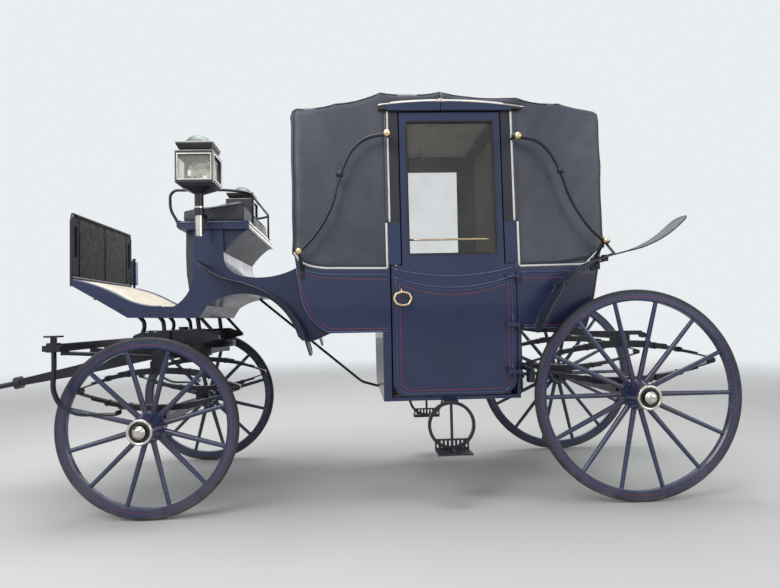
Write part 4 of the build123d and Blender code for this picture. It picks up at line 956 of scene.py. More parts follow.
def run_trim(bm, section, nodes, line, side, lift=0.0):
    """Lays one moulding or line on the side of the body."""
    path, out = laid(nodes, line, side, lift)
    kept, away = [path[0]], [out[0]]
    for spot, normal in zip(path[1:], out[1:]):
        if (spot - kept[-1]).length > 0.002:
            kept.append(spot)
            away.append(normal)
    sweep(bm, section, kept, away)


class CARRIAGE_OT_beading(bpy.types.Operator):
    """White edge beading where the leather meets the posts and the belt"""
    bl_idname = "carriage.beading"
    bl_label = "White beading"

    def execute(self, context):
        sizes = context.scene.carriage_sizes
        bead, band = bmesh.new(), bmesh.new()
        section, cover = half_round(sizes.bead), ribbon(BAND_WIDE, BAND_THICK)
        skins = leather_skins(context)
        for _, side in SIDES:
            for end, belt, toward in (("front", BELT_BEAD_FRONT, -1), ("rear", BELT_BEAD_REAR, 1)):
                run_trim(bead, section, ["quarter_panels"], from_door(curve_through(belt, 6)), side)
                x = DOOR_X + toward * LOWER_POST
                post = [Vector((x, side * outermost(skins[end], "quarter_panels", x, z, side), z))
                        for _, z in straight((0, POST_FOOT), (0, POST_STEP))]
                sweep(bead, section, post, [Vector((0, side, 0))] * len(post))
                for bm, shape, x, lift in ((bead, section, UPPER_POST, 0.001),
                                           (band, cover, UPPER_POST + BAND_OUT, 0.0)):
                    upper = straight((toward * x, POST_STEP + 0.004), (toward * x, POST_HEAD))
                    run_trim(bm, shape, [f"{end}_head_frame"], from_door(upper), side, lift)
        keep(bead, "white_beading", "white")
        keep(band, "leather_post_bands", "hood")
        return {"FINISHED"}


class CARRIAGE_OT_body_lining(bpy.types.Operator):
    """Belt and edge mouldings of the quarter panels, with their painted lines"""
    bl_idname = "carriage.body_lining"
    bl_label = "Body mouldings"

    def execute(self, context):
        sizes = context.scene.carriage_sizes
        rail, line = bmesh.new(), bmesh.new()
        moulding, stripe = half_round(sizes.moulding), ribbon(sizes.line, LINE_THICK)
        belts = []
        for belt, tip, inward in ((BELT_BEAD_FRONT, 0, 0.012), (BELT_BEAD_REAR, -1, -0.012)):
            lower = [(x, z - MOULDING_DROP) for x, z in belt]
            lower[tip] = (lower[tip][0] + inward, lower[tip][1])
            belts.append(lower)
        runs = [(rail, moulding, belt, 6) for belt in belts]
        runs += [(rail, moulding, edge, 5) for edge in (PANEL_EDGE_FRONT, PANEL_EDGE_REAR)]
        runs += [(line, stripe, red, 5) for red in (RED_FRONT, RED_REAR)]
        for _, side in SIDES:
            for bm, section, points, steps in runs:
                run_trim(bm, section, ["quarter_panels"], from_door(curve_through(points, steps)), side)
        keep(rail, "body_mouldings", "moulding")
        keep(line, "body_red_lines", "lining")
        return {"FINISHED"}


def door_line(inset, top_ends, top_mid, bottom, corner):
    """Round the door's panel: up one side, along the sagging top and down again."""
    x = DOOR_REACH - inset
    top = [(-x + 2 * x * i / 20, top_mid + (top_ends - top_mid) * (2 * i / 20 - 1) ** 2) for i in range(21)]
    sides = rounded([(x, top_ends - 0.004), (x, bottom), (-x, bottom), (-x, top_ends - 0.004)], corner)
    return closed_route(top + sides[1:-1], 0.03)


def door_mouldings(name, side, sizes):
    """The arched mouldings, moulded border and painted line of one door's panel."""
    leaf, body = [f"{name}_door_leaf"], f"{name}_door"
    rail, line = bmesh.new(), bmesh.new()
    for ends, mid in DOOR_ARCHES:
        arch = arc_line(DOOR_X - DOOR_REACH, DOOR_X + DOOR_REACH, ends, mid)
        run_trim(rail, half_round(sizes.moulding), leaf, arch, side)
    for bm, section, border in ((rail, half_round(BORDER_RADIUS), DOOR_BORDER),
                                (line, ribbon(sizes.line, LINE_THICK), DOOR_RED)):
        spots, out = laid(leaf, from_door(door_line(*border)), side)
        sweep(bm, section, spots, out, loop=True)
    keep(rail, f"{name}_door_mouldings", "moulding", body)
    keep(line, f"{name}_door_red_line", "lining", body)


def window_trim(name, side):
    """The bead round one door's window, the runs that hold its glass and the rail across it."""
    body, pane = f"{name}_door", f"{name}_door_glass"
    bead, run, rod = bmesh.new(), bmesh.new(), bmesh.new()
    a, b = low(pane), high(pane)
    x0, x1, z0, z1 = a.x - PANE_EDGE, b.x + PANE_EDGE, a.z - PANE_EDGE, b.z + PANE_EDGE
    route = closed_route([(x0, z0), (x1, z0), (x1, z1), (x0, z1)], 0.05)
    spots, out = laid([f"{name}_door_frame"], route, side)
    sweep(bead, half_round(0.004), spots, out, loop=True)
    keep(bead, f"{name}_window_bead", "strip", body)
    outer, tilt = b.y if side > 0 else -a.y, SIDE_LEAN / (CORNICE_TOP - LEAN_FOOT)
    for y0, y1 in GLASS_RUNS:
        for x0, x1, z0, z1 in ((a.x, a.x + RUN_WIDE, a.z, b.z), (b.x - RUN_WIDE, b.x, a.z, b.z),
                               (a.x, b.x, a.z, a.z + RUN_WIDE), (a.x, b.x, b.z - RUN_WIDE, b.z)):
            slab(run, (x0, side * (outer + y0), z0), (x1, side * (outer + y1), z1))
    for vert in run.verts:
        vert.co.y -= side * tilt * (vert.co.z - a.z)
    keep(run, f"{name}_window_run", "strip", body, smooth=False)
    inward = middle(pane).y - side * WINDOW_RAIL_IN
    start, span = a.x - 0.01, b.x - a.x + 0.02
    path = [(start + span * i / 6, inward, a.z + WINDOW_RAIL_RISE) for i in range(7)]
    pipe(rod, path, WINDOW_RAIL_RADIUS, UP)
    keep(rod, f"{name}_window_rail", "brass", body)


class CARRIAGE_OT_door_trim(bpy.types.Operator):
    """Arched mouldings, painted line, window bead and rail of both doors"""
    bl_idname = "carriage.door_trim"
    bl_label = "Door trim"

    def execute(self, context):
        for name, side in SIDES:
            door_mouldings(name, side, context.scene.carriage_sizes)
            window_trim(name, side)
        return {"FINISHED"}


# Upholstery

def stuffed(node, finish, shrink, cap, voxel):
    """A cushion in the space of its CAD solid: shrunk, remeshed, blown up as cloth and held to a cap."""
    name = f"stuffed_{node}"
    scene = bpy.context.scene
    mesh = NODES[node].data.copy()
    bm = bmesh.new()
    bm.from_mesh(mesh)
    bmesh.ops.remove_doubles(bm, verts=bm.verts, dist=0.0002)
    bm.normal_update()
    for vert, normal in [(v, v.normal.copy()) for v in bm.verts]:
        vert.co -= normal * shrink
    mesh = bpy.data.meshes.new(name)
    bm.to_mesh(mesh)
    bm.free()
    pad = bpy.data.objects.new(name, mesh)
    scene.collection.objects.link(pad)
    modify(pad, "REMESH", mode="VOXEL", voxel_size=voxel)
    bake_modifiers(pad)
    rest = [v.co.copy() for v in pad.data.vertices]
    cloth = modify(pad, "CLOTH").settings
    cloth.use_pressure = True
    cloth.uniform_pressure_force = 4.0
    cloth.effector_weights.gravity = 0
    for number in range(1, 21):
        scene.frame_set(number)
    moved = pad.evaluated_get(bpy.context.evaluated_depsgraph_get()).data
    blown = [v.co.copy() for v in moved.vertices]
    pad.modifiers.clear()
    for vert, old, new in zip(pad.data.vertices, rest, blown):
        step = new - old
        vert.co = old + step * min(1.0, cap / step.length if step.length > 1e-9 else 1.0)
    scene.frame_set(1)
    pad.data.materials.clear()
    pad.data.materials.append(MATERIALS[finish])
    pad.data.shade_smooth()
    modify(pad, "SMOOTH", factor=0.5, iterations=4)
    bake_modifiers(pad)
    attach(pad, "carriage")
    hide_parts(node)
    return pad


def bake_modifiers(piece):
    """Applies a piece's modifiers to its mesh."""
    worked = piece.evaluated_get(bpy.context.evaluated_depsgraph_get())
    fresh = bpy.data.meshes.new_from_object(worked)
    piece.modifiers.clear()
    piece.data = fresh


class CARRIAGE_OT_cabin_seats(bpy.types.Operator):
    """Stuffed seat cushions and backs of the facing seats"""
    bl_idname = "carriage.cabin_seats"
    bl_label = "Cabin seats"

    def execute(self, context):
        stuffed("seat_cushions", "cloth", shrink=0.008, cap=0.016, voxel=0.016)
        stuffed("seat_backs", "cloth", shrink=0.008, cap=0.014, voxel=0.016)
        return {"FINISHED"}


# The cushion's edge lies REAR_DROP to FRONT_DROP below its highest point, and its piping lies under that
REAR_DROP, FRONT_DROP = 0.006, 0.052
PIPING_UNDER, PIPING_STEPS = 0.0064, 16


class CARRIAGE_OT_driver_seat(bpy.types.Operator):
    """The driver's stuffed cushion with its piping"""
    bl_idname = "carriage.driver_seat"
    bl_label = "Driver's seat"

    def execute(self, context):
        pad = stuffed("driver_cushion", "seat", shrink=0.007, cap=0.014, voxel=0.012)
        a, b, centre = low("driver_cushion"), high("driver_cushion"), middle("driver_cushion")
        corners = [(a.x, a.y), (b.x, a.y), (b.x, b.y), (a.x, b.y)]
        skin = BVHTree.FromObject(pad, bpy.context.evaluated_depsgraph_get())
        spots, out = [], []
        for (x0, y0), (x1, y1) in zip(corners, corners[1:] + corners[:1]):
            for i in range(PIPING_STEPS):
                share = i / PIPING_STEPS
                x, y = x0 + (x1 - x0) * share, y0 + (y1 - y0) * share
                z = b.z - FRONT_DROP + (FRONT_DROP - REAR_DROP) * (x - a.x) / (b.x - a.x) - PIPING_UNDER
                guess = Vector((x + (centre.x - x) * 0.03, y + (centre.y - y) * 0.012, z))
                spot, normal, _, _ = skin.find_nearest(guess)
                spots.append(spot)
                out.append(normal)
        bm = bmesh.new()
        sweep(bm, full_round(0.0045, 8), spots, out, loop=True)
        keep(bm, "driver_cushion_piping", "seat")
        return {"FINISHED"}


# Wheels

# How much of a tyre's depth is its rounded tread
TREAD_SHARE = 0.72
# (along, share of the hub's radius) of its nickel ring, domed cap and dark floor
HUB_RING = [(0.0005, 0.60), (0.0005, 0.96), (0.004, 1.0), (0.014, 1.0), (0.019, 0.97), (0.0205, 0.92),
            (0.0200, 0.86), (0.017, 0.79), (0.0125, 0.745), (0.0095, 0.74), (0.0095, 0.60), (0.0005, 0.60)]
HUB_CAP = [(0.002, 0.0), (0.002, 0.50), (0.027, 0.515), (0.031, 0.49), (0.0335, 0.40), (0.040, 0.37),
           (0.0435, 0.30)]
HUB_FLOOR = [(0.0085, 0.50), (0.0108, 0.50), (0.0108, 0.745), (0.0085, 0.745), (0.0085, 0.50)]
# (along, radius) of the flange on the hub's inner end
HUB_FLANGE = [(-0.004, 0.030), (-0.004, 0.058), (0.004, 0.060), (0.004, 0.030), (-0.004, 0.030)]
FLANGE_IN = 0.092


def scaled(profile, radius):
    return [(along, radius * share) for along, share in profile]


def each_wheel():
    """Name, side, centre and body of each wheel."""
    for end in ("front", "rear"):
        for name, side in SIDES:
            centre = middle(f"{end}_{name}_tyre")
            yield f"{end}_{name}", side, centre, f"{end}_{name}_running_wheel"


class CARRIAGE_OT_tyres(bpy.types.Operator):
    """Round solid rubber tyres"""
    bl_idname = "carriage.tyres"
    bl_label = "Tyres"

    def execute(self, context):
        for name, _, centre, body in each_wheel():
            node = f"{name}_tyre"
            radius = (high(node).z - low(node).z) / 2
            half = (high(node).y - low(node).y) / 2
            deep = radius - (high(f"{name}_wheel").z - low(f"{name}_wheel").z) / 2
            tread = deep * TREAD_SHARE
            profile = [(-half, radius - deep), (-half, radius - tread)]
            for i in range(1, 12):
                a = math.pi * i / 12
                profile.append((-half * math.cos(a), radius - tread + tread * math.sin(a) ** 0.8))
            profile += [(half, radius - tread), (half, radius - deep)]
            bm = bmesh.new()
            spin_profile(bm, profile, centre, (0, 1, 0), 112)
            tyre = keep(bm, f"{name}_round_tyre", "rubber", body)
            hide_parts(node)
        return {"FINISHED"}


class CARRIAGE_OT_hubs(bpy.types.Operator):
    """Nickel hub rings with their sunk domed caps, and bands on the barrels"""
    bl_idname = "carriage.hubs"
    bl_label = "Hubs"

    def execute(self, context):
        for name, side, centre, body in each_wheel():
            node = f"{name}_hub_cap"
            a, b = low(node), high(node)
            radius, reach = (b.z - a.z) / 2, abs(b.y - a.y)
            start, out = Vector((centre.x, b.y if side < 0 else a.y, centre.z)), Vector((0, side, 0))
            bm, dark = bmesh.new(), bmesh.new()
            spin_profile(bm, scaled(HUB_RING, radius), start, out, 64)
            spin_profile(bm, scaled(HUB_CAP + [(reach, 0.16), (reach, 0.0)], radius), start, out)
            spin_profile(dark, scaled(HUB_FLOOR, radius), start, out)
            inside = Vector((centre.x, side * (abs(centre.y) - FLANGE_IN), centre.z))
            spin_profile(dark, HUB_FLANGE, inside, out, 32)
            keep(dark, f"{name}_hub_recess", "iron", body)
            piece = keep(bm, f"{name}_hub_ring", "nickel", body)
            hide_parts(node)
        return {"FINISHED"}


# (x from the doorway's middle, z, radius) of each brass ball
IRON_BALLS = [(-0.359, 2.026, 0.0215), (-0.846, 1.389, 0.0200),
              (0.362, 2.007, 0.0215), (0.838, 1.422, 0.0200)]
# The balls' middles lie this far inside the irons' outer faces
BALL_IN = 0.020


class CARRIAGE_OT_brasses(bpy.types.Operator):
    """Brass balls on the ends and knuckles of the S-shaped irons"""
    bl_idname = "carriage.brasses"
    bl_label = "Brass balls"

    def execute(self, context):
        bm = bmesh.new()
        y = high("landau_irons").y - BALL_IN
        for x, z, radius in IRON_BALLS:
            for _, side in SIDES:
                bmesh.ops.create_uvsphere(bm, u_segments=24, v_segments=14, radius=radius,
                                          matrix=Matrix.Translation((DOOR_X + x, side * y, z)))
        keep(bm, "brass_balls", "brass")
        return {"FINISHED"}


# Lamps, seat board, dash and footboard

DOME_TALL, DOME_RADIUS, DOME_SKIN, DOME_STEPS = 0.060, 0.080, 0.0008, 14
# A lamp's window bars and corner posts, and how much of its panes and sides their frame covers
LAMP_BAR, LAMP_POST, LAMP_SHOULDER = 0.007, 0.0035, 0.020
PANE_LAP, CORNER_WIDE = 0.006, 0.016
# (along, radius) of a lamp's reflector, candle and wick
REFLECTOR = [(0.0, 0.0), (0.002, 0.035), (0.010, 0.062), (0.022, 0.078), (0.020, 0.079), (0.008, 0.064),
             (-0.001, 0.036), (-0.002, 0.0)]
CANDLE = [(0, 0.0), (0, 0.011), (0.056, 0.011), (0.060, 0.007), (0.060, 0)]
WICK = [(0, 0.0), (0, 0.0012), (0.010, 0.0009), (0.010, 0)]
TUBE_RADIUS = 0.0195


def lamp_window(bm, face, along, out, half, z0, z1):
    """Four bars round one pane of a lamp, whose half width and heights are given."""
    wide, foot, top = half + LAMP_BAR, z0 - LAMP_BAR, z1 + LAMP_BAR
    for s0, h0, s1, h1 in ((-wide, foot, -half, top), (half, foot, wide, top),
                           (-half, foot, half, z0), (-half, z1, half, top)):
        inner, outer = face + along * s0 + UP * h0, face + along * s1 + UP * h1
        slab(bm, inner - out * 0.001, outer + out * 0.003, 0.001)


def lamp_trim(trim, shades, wax, wicks, side):
    """One lamp's bars, posts, rims, dome, reflector, candle, and the collars and bolt of its tube."""
    a, b = low("lamps"), high("lamps")
    half = (b.x - a.x) / 2
    z0, z1 = low("lamp_glass").z + PANE_LAP, high("lamp_glass").z - PANE_LAP
    centre, away = Vector(((a.x + b.x) / 2, side * (b.y - half), 0)), Vector((0, side, 0))
    for way in ((-1, 0), (1, 0), (0, side)):
        out = Vector((*way, 0))
        along = Vector((way[1], way[0], 0)) * side
        lamp_window(trim, centre + out * half, along, out, half - CORNER_WIDE, z0, z1)
    for dx in (-half, half):
        for dy in (-half, half):
            ends = [centre + Vector((dx, dy, z)) for z in (z0 - LAMP_SHOULDER, z1 + LAMP_SHOULDER)]
            pipe(trim, ends, LAMP_POST, (1, 0, 0), 8)
    rim = centre + UP * (b.z - DOME_TALL)
    pipe(trim, square_route(rim, half - 0.003), 0.004, UP, 8, loop=True)
    pipe(trim, square_route(centre + UP * (z1 + 0.021), half - 0.004), 0.003, UP, 8, loop=True)
    rise, skin = DOME_TALL - DOME_RADIUS, DOME_RADIUS + DOME_SKIN
    first = math.asin(-rise / DOME_RADIUS)
    turns = [first + (math.pi / 2 - first) * i / DOME_STEPS for i in range(DOME_STEPS + 1)]
    crown = [(rise + skin * math.sin(t), max(0.0, skin * math.cos(t))) for t in turns]
    spin_profile(shades, [(0.001, 0.0)] + crown, rim, UP)
    spin_profile(trim, REFLECTOR, centre + UP * ((z0 + z1) / 2) - away * (half - 0.013), away, 40)
    spin_profile(wax, CANDLE, centre + UP * (z0 - 0.010), UP, 20)
    spin_profile(wicks, WICK, centre + UP * (z0 + 0.049), UP, 8)
    tube_foot, tube_top, r = low("lamp_tubes").z, high("lamp_tubes").z, TUBE_RADIUS
    for foot, tall, wide in ((tube_foot - 0.002, 0.008, 0.0225), (tube_top - 0.010, 0.012, 0.0235)):
        spin_profile(trim, [(0, r), (0, wide), (tall, wide), (tall, r), (0, r)], centre + UP * foot, UP, 32)
    disc_bolt(trim, centre + away * r + UP * (tube_foot + 0.062), away, 0.006, 0.004, 12)


class CARRIAGE_OT_lamp_trim(bpy.types.Operator):
    """Nickel frames and rims, patinated domes, reflectors and candles of the carriage lamps"""
    bl_idname = "carriage.lamp_trim"
    bl_label = "Lamp trim"

    def execute(self, context):
        trim, shades, wax, wicks = bmesh.new(), bmesh.new(), bmesh.new(), bmesh.new()
        for _, side in SIDES:
            lamp_trim(trim, shades, wax, wicks, side)
        keep(trim, "lamp_nickel_trim", "nickel", smooth=False)
        keep(shades, "lamp_domes", "patina")
        keep(wax, "lamp_candles", "candle")
        keep(wicks, "candle_wicks", "iron")
        return {"FINISHED"}


# Drops of the strips' middles from the seat board's top, half their height, and the place of the rail's feet
STRIP_DROPS, STRIP_HALF, RAIL_FOOT_Y = (0.010, 0.034), 0.004, 0.340


class CARRIAGE_OT_seat_trim(bpy.types.Operator):
    """Moulded edge and silver rear strips of the driver's seat board, and the feet of its rail"""
    bl_idname = "carriage.seat_trim"
    bl_label = "Seat board trim"

    def execute(self, context):
        a, b = low("seat_board"), high("seat_board")
        edge, strips, feet = bmesh.new(), bmesh.new(), bmesh.new()
        route = rounded([(b.x, -b.y), (a.x, -b.y), (a.x, b.y), (b.x, b.y)], 0.012)
        pipe(edge, [(x, y, b.z - 0.008) for x, y in route], 0.005, UP)
        for drop in STRIP_DROPS:
            z, half, wide = b.z - drop, STRIP_HALF, b.y - 0.004
            slab(strips, (b.x - 0.001, -wide, z - half), (b.x + 0.003, wide, z + half), 0.001)
        for x, y in ((a.x + 0.008, b.y - 0.008), (b.x - 0.007, RAIL_FOOT_Y)):
            for side in (-1, 1):
                dome(feet, (x, side * y, b.z), UP, 0.018, 0.006)
        keep(edge, "seat_board_moulding", "moulding")
        keep(strips, "seat_board_strips", "nickel", smooth=False)
        keep(feet, "rail_feet", "iron")
        return {"FINISHED"}


# The dash's upright welts, its slots by place, half width and drops from the top, and its rolled top
WELT_Y, SLOT_IN, SLOT_HALF, SLOT_DROPS, ROLL_RADIUS = 0.372, 0.0340, 0.011, (0.227, 0.048), 0.0125


class CARRIAGE_OT_dash_trim(bpy.types.Operator):
    """Sewn welts, bound slots and rolled top of the leather dashboard"""
    bl_idname = "carriage.dash_trim"
    bl_label = "Dashboard trim"

    def execute(self, context):
        a, b = low("dash_panel"), high("dash_panel")
        x = (a.x + b.x) / 2
        bm = bmesh.new()
        z0, z1 = (b.z - drop for drop in SLOT_DROPS)
        for face in (a.x, b.x):
            for y in (-WELT_Y, 0.0, WELT_Y):
                pipe(bm, [(face, y, a.z + 0.004), (face, y, b.z - 0.004)], 0.0032, (0, 1, 0), 8)
            for side in (-1, 1):
                y = side * (b.y - SLOT_IN)
                y0, y1 = y - SLOT_HALF, y + SLOT_HALF
                border = [(y, z0), (y1, z0), (y1, z1), (y0, z1), (y0, z0), (y, z0)]
                path = [(face, y, z) for y, z in rounded(border, 0.008)[:-1]]
                pipe(bm, path, 0.0028, (1, 0, 0), 8, loop=True)
        top, half = high("dash_frame").z - 0.009, b.y - 0.01
        pipe(bm, [(x, -half + i * half / 10, top) for i in range(21)], ROLL_RADIUS, UP, 12)
        keep(bm, "dash_welts", "patent")
        return {"FINISHED"}


def top_line(node, x0, x1, y):
    """Points and outward directions along the top of a node at one distance from the middle."""
    count = max(2, round(abs(x1 - x0) / 0.025))
    spots, out = [], []
    for i in range(count + 1):
        x = x0 + (x1 - x0) * i / count
        spot, normal, _, _ = TREE(node).ray_cast(Vector((x, y, ABOVE)), -UP)
        if spot is not None:
            spots.append(spot)
            out.append(normal if normal.z > 0 else -normal)
    return spots, out


MAT_WIDE, MAT_THICK = 0.86, 0.006
# (x, z) of the bolts along each edge of the footboard
FOOTBOARD_BOLTS = [(-1.36, 1.165), (-1.22, 1.103), (-1.06, 1.072), (-0.94, 1.072)]


class CARRIAGE_OT_footboard_trim(bpy.types.Operator):
    """Woven mat, moulded edges and bolts of the driver's footboard"""
    bl_idname = "carriage.footboard_trim"
    bl_label = "Footboard trim"

    def execute(self, context):
        a, b = low("footboard"), high("footboard")
        mat, edge, bolts = bmesh.new(), bmesh.new(), bmesh.new()
        spots, out = top_line("footboard", a.x + 0.034, a.x + 0.46, 0.0)
        sweep(mat, ribbon(MAT_WIDE, MAT_THICK), spots, out)
        for side in (-1, 1):
            spots, out = top_line("footboard", a.x + 0.010, a.x + 0.490, side * (b.y - 0.004))
            sweep(edge, full_round(0.0062), spots, out)
            for x, z in FOOTBOARD_BOLTS:
                dome(bolts, (x, side * b.y, z), (0, side, 0), 0.008, 0.004)
        keep(mat, "footboard_mat", "mat", smooth=False)
        keep(edge, "footboard_moulding", "moulding")
        keep(bolts, "footboard_bolts", "iron")
        return {"FINISHED"}


# Ironwork

# Inner edge of each pair of mudguards, and the (x, z) guide line that their bands follow
FENDERS = {
    "front_fenders": (0.5003, [(-0.756, 1.351), (-0.716, 1.311), (-0.625, 1.253), (-0.518, 1.227),
                               (-0.392, 1.181), (-0.277, 1.095), (-0.199, 0.980), (-0.157, 0.832)]),
    "rear_fenders": (0.634, [(1.065, 0.931), (1.117, 1.044), (1.205, 1.184), (1.324, 1.286), (1.493, 1.343),
                             (1.635, 1.371), (1.770, 1.436), (1.895, 1.545)]),
}
FENDER_CORNER, FENDER_WIRE = 0.062, 0.0042


def fender_surface(node, guide, y):
    """Spots, outward directions and run down a mudguard's middle, by rays square to its guide line."""
    line = curve_through(guide, 8)
    spots, out, run = [], [], [0.0]
    for i, spot in enumerate(line):
        ahead = line[min(i + 1, len(line) - 1)] - line[max(i - 1, 0)]
        away = Vector((-ahead.y, 0, ahead.x)).normalized()
        if away.z < 0:
            away = -away
        start = Vector((spot.x, y, spot.y)) + away * 0.05
        hit = TREE(node).ray_cast(start, -away, 0.1)[0]
        spots.append(hit if hit is not None else Vector((spot.x, y, spot.y)))
        out.append(away)
        if i:
            run.append(run[-1] + (spots[-1] - spots[-2]).length)
    return spots, out, run


def fender_edge(bm, node, side):
    """A rolled wire round a mudguard's outline."""
    inner, guide = FENDERS[node]
    outer = high(node).y
    spots, out, run = fender_surface(node, guide, side * (inner + outer) / 2)
    total, c = run[-1], FENDER_CORNER

    def at(s, y):
        s = min(max(s, 0.0), total)
        i = next(k for k in range(1, len(run)) if run[k] >= s - 1e-9)
        t = (s - run[i - 1]) / (run[i] - run[i - 1])
        spot = spots[i - 1].lerp(spots[i], t)
        away = out[i - 1].lerp(out[i], t).normalized()
        return Vector((spot.x, side * y, spot.z)) - away * 0.0025, away

    flat = []
    for centre_s, centre_y, first in ((c, inner + c, math.pi), (total - c, inner + c, 1.5 * math.pi),
                                      (total - c, outer - c, 0.0), (c, outer - c, 0.5 * math.pi)):
        turns = [first + math.pi / 2 * i / 6 for i in range(7)]
        flat += [(centre_s + c * math.cos(a), centre_y + c * math.sin(a)) for a in turns]
    placed = [at(s, y) for s, y in closed_route(flat, 0.03)]
    sweep(bm, full_round(FENDER_WIRE, 8), [q[0] for q in placed], [q[1] for q in placed], loop=True)


class CARRIAGE_OT_fender_edges(bpy.types.Operator):
    """Rolled wire edges of the mudguards"""
    bl_idname = "carriage.fender_edges"
    bl_label = "Mudguard edges"

    def execute(self, context):
        bm = bmesh.new()
        for node in FENDERS:
            for side in (-1, 1):
                fender_edge(bm, node, side)
        keep(bm, "mudguard_edges", "iron")
        return {"FINISHED"}


def layers(node, x, y):
    """Heights at which a plumb line enters and leaves a node, from the top."""
    found, z = [], ABOVE
    for _ in range(40):
        spot = TREE(node).ray_cast(Vector((x, y, z)), -UP)[0]
        if spot is None:
            break
        if not found or found[-1] - spot.z > 1e-5:
            found.append(spot.z)
        z = spot.z - 1e-5
    return found


SPRING_HALF = 0.026
# Clips lie at these shares of a spring's half length and stand CLIP_OVER over its leaves
CLIP_SHARES, CLIP_HALF, CLIP_OVER = (-0.62, -0.36, 0.36, 0.62), 0.006, 0.003
EYE_IN, NUT_TALL = 0.013, 0.007


class CARRIAGE_OT_spring_fittings(bpy.types.Operator):
    """Clips, eye bolts and clamp plates of the elliptic springs"""
    bl_idname = "carriage.spring_fittings"
    bl_label = "Spring fittings"

    def execute(self, context):
        for node, body in (("front_springs", "fore_carriage"), ("rear_springs", "carriage")):
            a, b = low(node), high(node)
            centre, mid_z, half = (a.x + b.x) / 2, (a.z + b.z) / 2, (b.x - a.x) / 2
            bm = bmesh.new()
            for side in (-1, 1):
                y = side * (b.y - SPRING_HALF)
                reach = SPRING_HALF + CLIP_OVER
                for share in CLIP_SHARES:
                    x = centre + half * share
                    hits = layers(node, x, y)
                    for above in (True, False):
                        stack = [z for z in hits if (z > mid_z) == above]
                        if len(stack) > 1:
                            slab(bm, (x - CLIP_HALF, y - reach, min(stack) - CLIP_OVER),
                                 (x + CLIP_HALF, y + reach, max(stack) + CLIP_OVER), 0.0015)
                for end in (-1, 1):
                    x = centre + end * (half - EYE_IN)
                    for face in (-1, 1):
                        eye = Vector((x, y + face * SPRING_HALF, mid_z))
                        disc_bolt(bm, eye, (0, face, 0), 0.0105, NUT_TALL)
                        dome(bm, eye + Vector((0, face * NUT_TALL, 0)), (0, face, 0), 0.006, 0.004)
            keep(bm, f"{node[:-8]}_spring_fittings", "iron", body, smooth=False)
        return {"FINISHED"}


# Cabin

# The lining boards stand this far inside the leather, clear of the bows
LINING_IN, LINING_THICK = 0.052, 0.004
# Lower and upper corner of the carpet in the foot well
WELL_CARPET = (0.272, -0.516, 0.5792), (0.968, 0.516, 0.587)
# Half width, and heights, of a door's cloth panel and of its window strap
PANEL_HALF, PANEL_HEIGHTS, PANEL_THICK = 0.29, (0.640, 1.262), 0.009
STRAP_HALF, STRAP_HEIGHTS, STRAP_THICK = 0.024, (1.000, 1.290), 0.003
# Heights of the strips behind a door's gaps: beside its leaf, beside its window frame and over that
LOWER_STOP, UPPER_STOP, TOP_STOP = (0.600, 1.300), (1.316, 2.200), (2.150, 2.206)
STOP_IN, LOWER_STOP_THICK, UPPER_STOP_THICK = 0.007, 0.010, 0.009


def line_door(name, side):
    """Cloth panel and window strap of one door, and the strips on the body behind its gaps."""
    body, leaf, upper = f"{name}_door", f"{name}_door_leaf", f"{name}_door_frame"
    panel, strap, strip = bmesh.new(), bmesh.new(), bmesh.new()
    inner = min(abs(low(leaf).y), abs(high(leaf).y))

    def board(bm, x0, x1, heights, outer, thick, edge, segments=2):
        slab(bm, (x0, side * outer, heights[0]), (x1, side * (outer - thick), heights[1]), edge, segments)

    board(panel, DOOR_X - PANEL_HALF, DOOR_X + PANEL_HALF, PANEL_HEIGHTS, inner, PANEL_THICK, 0.004, 3)
    on_panel = inner - PANEL_THICK
    board(strap, DOOR_X - STRAP_HALF, DOOR_X + STRAP_HALF, STRAP_HEIGHTS, on_panel, STRAP_THICK, 0.001)
    for i in range(5):
        dome(strap, (DOOR_X, side * (on_panel - STRAP_THICK), 1.03 + 0.05 * i), (0, -side, 0), 0.005, 0.002)
    x_low, x_high = low(leaf).x, high(leaf).x
    for x0, x1 in ((x_low - 0.030, x_low + 0.018), (x_high - 0.020, x_high + 0.028)):
        board(strip, x0, x1, LOWER_STOP, inner - STOP_IN, LOWER_STOP_THICK, 0.002)
    x_low, x_high = low(upper).x, high(upper).x
    lean = min(abs(low(upper).y), abs(high(upper).y)) - STOP_IN
    for x0, x1, heights in ((x_low - 0.026, x_low + 0.012, UPPER_STOP),
                            (x_high - 0.012, x_high + 0.026, UPPER_STOP),
                            (x_low - 0.03, x_high + 0.03, TOP_STOP)):
        board(strip, x0, x1, heights, lean, UPPER_STOP_THICK, 0.002)
    keep(panel, f"{name}_door_lining", "cloth", body, smooth=False)
    keep(strap, f"{name}_window_strap", "patent", body, smooth=False)
    keep(strip, f"{name}_door_stops", "strip", smooth=False)


class CARRIAGE_OT_cabin_lining(bpy.types.Operator):
    """Cloth-covered head lining, door panels, window straps, carpet and the strips behind the door gaps"""
    bl_idname = "carriage.cabin_lining"
    bl_label = "Cabin lining"

    def execute(self, context):
        sizes = context.scene.carriage_sizes
        for end in ("front", "rear"):
            piece = keep(make_head(end, sizes, LINING_IN), f"{end}_head_lining", "cloth")
            modify(piece, "SOLIDIFY", thickness=LINING_THICK, offset=-1)
        for name, side in SIDES:
            line_door(name, side)
        rug = bmesh.new()
        slab(rug, *WELL_CARPET, 0.002)
        keep(rug, "well_carpet", "mat", smooth=False)
        return {"FINISHED"}


# Cornice and seams

def leather_skins(context):
    """Search trees of the two leather pieces as they stand."""
    graph = context.evaluated_depsgraph_get()
    heads = {end: bpy.data.objects[f"{end}_leather_head"] for end in ("front", "rear")}
    return {end: BVHTree.FromObject(head, graph) for end, head in heads.items()}


